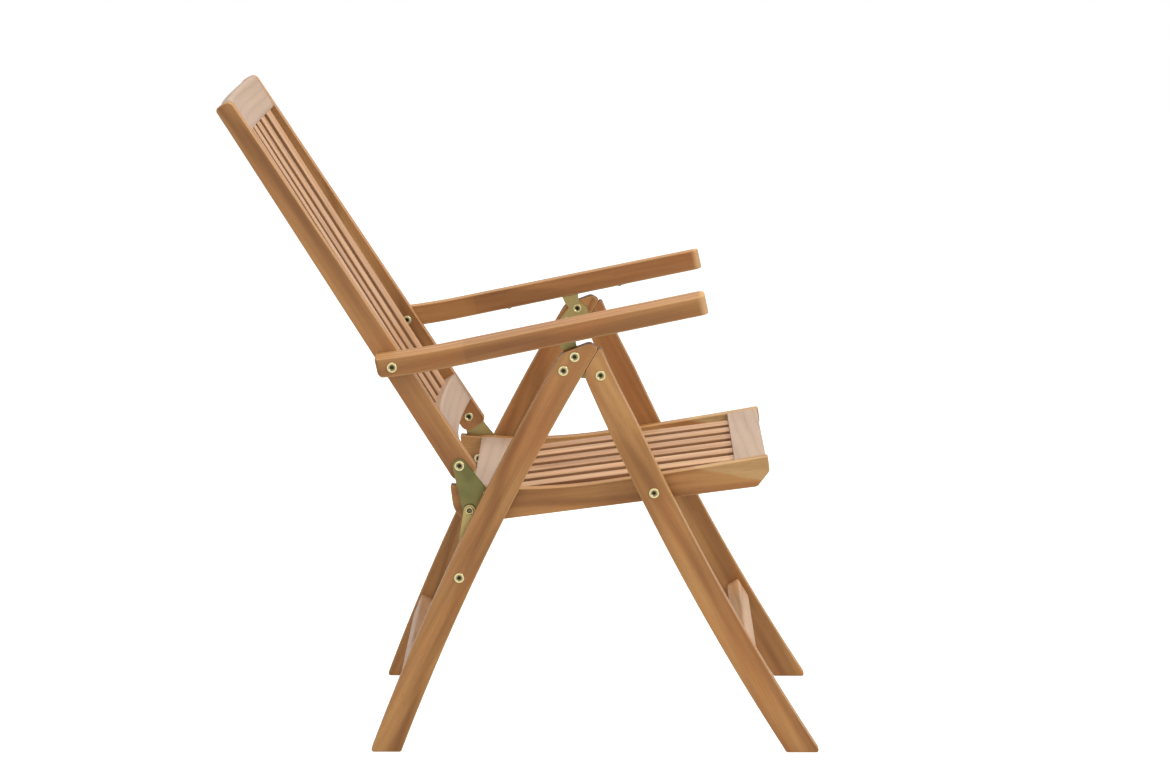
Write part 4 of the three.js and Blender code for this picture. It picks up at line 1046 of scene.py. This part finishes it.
class ARMCHAIR_OT_plates(bpy.types.Operator):
    """Finish the zinc plates, links, channels, bushes and screws, and turn the heads of the link pins"""

    bl_idname = "armchair.plates"
    bl_label = "Plates"

    def execute(self, context):
        for stem, body, slot, tint, left_tint_and_reflection in PLATES:
            for name, sign in SIDES:
                node = f"{stem}_{name}"
                # The far plates are tinted more golden, partly a painted reflection of the wood beside them
                shade = tint + (left_tint_and_reflection if sign > 0 else 0.0)
                clean_copy(f"{node}_eased", body or f"armrest_{name}", slot, node, shade)
        outline = strip_outline((LINK_BOLT, LINK_PIN), LINK_RADIUS)
        for name, sign in SIDES:
            node = f"link_{name}"
            inner, outer = layer_of(node)
            face = inner + LINK_THICKNESS
            shape = board_mesh(outline, *side_layer(sign, inner, face), LINK_ARRIS, SIDE_VIEW, 4)
            finish_piece(f"{node}_strip", "links", "zinc_plate", shape, None, node, tint=1.0)
            rows = [(PIN_RADIUS, face - PIN_SUNK, 0.0), *ring_rows(PIN_HEAD, outer - face, face, 1)]
            shape, soil = turned_mesh(rows, LINK_PIN, sign)
            finish_piece(f"{node}_pin_head", "links", "zinc_bolt", shape, None, soil=soil * PIN_SHADE)
            node = f"link_pin_sleeve_{name}"
            inner, outer = layer_of(node)
            collar = outer - COLLAR_HEIGHT
            rows = sleeve_rows(inner, collar) + [(COLLAR, collar, 0.0), (COLLAR, outer, 0.0)]
            shape, soil = turned_mesh(rows, LINK_PIN, sign)
            finish_piece(f"{node}_turned", "seat", "zinc_bolt", shape, None, node, soil=soil)
        return {"FINISHED"}


# Stage

WHITE = (1, 1, 1, 1)
FLOOR_REACH, FLOOR_GREY, FLOOR_GLOW = 9, 0.6, 0.92
SHOWN_WORLD, LIGHTING_WORLD = 1.0, 0.42
# The camera's turn to the side and down, and its place in metres
CAMERA_YAW, CAMERA_PITCH = math.atan(-24.65 / 4154), math.radians(9.6)
CAMERA_SPOT = (LEG_PIVOT[0] + 0.0133, -6.520, 1.626)
# Name, place, aim, size in metres and power in watts
LAMPS = (
    ("key", (2.6, -1.9, 2.9), (0, 0, 0.5), 1.6, 66),
    ("fill", (-0.7, -4.2, 1.1), (0, 0, 0.5), 2.4, 36),
    ("top", (0.3, 0.6, 3.6), (0, 0, 0.4), 2.2, 84),
)


def seen_by(add, link, *rays):
    """One for these kinds of ray and zero for the others."""
    path = add("ShaderNodeLightPath")
    share = path.outputs[rays[0]]
    for ray in rays[1:]:
        share = computed(add, link, "MAXIMUM", share, path.outputs[ray])
    return share


class ARMCHAIR_OT_stage(bpy.types.Operator):
    """Make the floor, the backdrop, the lamps and the camera"""

    bl_idname = "armchair.stage"
    bl_label = "Stage"

    def execute(self, context):
        scene = context.scene
        world = bpy.data.worlds.new("studio")
        scene.world = world
        world.use_nodes = True
        add, link = node_maker(world.node_tree)
        mix = add("ShaderNodeMixShader")
        link(seen_by(add, link, "Is Camera Ray", "Is Glossy Ray", "Is Transmission Ray"), mix.inputs[0])
        link(add("ShaderNodeBackground", Color=WHITE, Strength=LIGHTING_WORLD).outputs[0], mix.inputs[1])
        link(add("ShaderNodeBackground", Color=WHITE, Strength=SHOWN_WORLD).outputs[0], mix.inputs[2])
        link(mix.outputs[0], add("ShaderNodeOutputWorld").inputs[0])

        finish, add, link = new_material("studio_floor")
        total = add("ShaderNodeAddShader")
        plain = add("ShaderNodeBsdfDiffuse", Color=(*[FLOOR_GREY] * 3, 1))
        glow = add("ShaderNodeEmission", Color=WHITE)
        shown = seen_by(add, link, "Is Camera Ray", "Is Glossy Ray")
        link(computed(add, link, "MULTIPLY", shown, FLOOR_GLOW), glow.inputs["Strength"])
        link(plain.outputs[0], total.inputs[0])
        link(glow.outputs[0], total.inputs[1])
        link(total.outputs[0], add("ShaderNodeOutputMaterial").inputs[0])
        mesh = bpy.data.meshes.new("floor")
        mesh.from_pydata([(*c, 0) for c in (SQUARE * FLOOR_REACH).tolist()], [], [(0, 1, 2, 3)])
        floor = bpy.data.objects.new("floor", mesh)
        mesh.materials.append(finish)
        scene.collection.objects.link(floor)

        for name, spot, aim, size, power in LAMPS:
            lamp = bpy.data.lights.new(name, "AREA")
            lamp.shape = "SQUARE"
            lamp.size = size
            lamp.energy = power
            holder = bpy.data.objects.new(name, lamp)
            holder.location = spot
            holder.rotation_euler = (Vector(aim) - Vector(spot)).to_track_quat("-Z", "Y").to_euler()
            scene.collection.objects.link(holder)

        camera = bpy.data.cameras.new("camera")
        camera.sensor_width = 36.0
        camera.lens = scene.chair_sizes.lens
        camera.clip_end = 60
        holder = bpy.data.objects.new("camera", camera)
        level, drop = math.cos(CAMERA_PITCH), math.sin(CAMERA_PITCH)
        view = Vector((math.sin(CAMERA_YAW) * level, math.cos(CAMERA_YAW) * level, -drop))
        right = Vector((math.cos(CAMERA_YAW), -math.sin(CAMERA_YAW), 0))
        turn = Matrix((right, right.cross(view), -view)).transposed()
        holder.matrix_world = Matrix.Translation(CAMERA_SPOT) @ turn.to_4x4()
        scene.collection.objects.link(holder)
        scene.camera = holder
        scene.view_settings.view_transform = "Standard"
        return {"FINISHED"}


class ARMCHAIR_PT_panel(bpy.types.Panel):
    bl_label = "Folding armchair"
    bl_idname = "ARMCHAIR_PT_panel"
    bl_space_type = "VIEW_3D"
    bl_region_type = "UI"
    bl_category = "Armchair"

    def draw(self, context):
        for step in STEPS:
            self.layout.operator(step.bl_idname)


STEPS = (
    ARMCHAIR_OT_stage,
    ARMCHAIR_OT_legs,
    ARMCHAIR_OT_seat,
    ARMCHAIR_OT_back,
    ARMCHAIR_OT_armrests,
    ARMCHAIR_OT_plates,
    ARMCHAIR_OT_bolts,
)
CLASSES = (ChairSizes, ChairColours, *STEPS, ARMCHAIR_PT_panel)


def register():
    for kind in CLASSES:
        bpy.utils.register_class(kind)
    bpy.types.Scene.chair_sizes = PointerProperty(type=ChairSizes)
    bpy.types.Scene.chair_colours = PointerProperty(type=ChairColours)


def unregister():
    del bpy.types.Scene.chair_sizes
    del bpy.types.Scene.chair_colours
    for kind in reversed(CLASSES):
        bpy.utils.unregister_class(kind)


def main():
    register()
    bpy.ops.armchair.stage()
    bpy.ops.armchair.legs()
    bpy.ops.armchair.seat()
    bpy.ops.armchair.back()
    bpy.ops.armchair.armrests()
    bpy.ops.armchair.plates()
    bpy.ops.armchair.bolts()


if __name__ == "__main__":
    main()
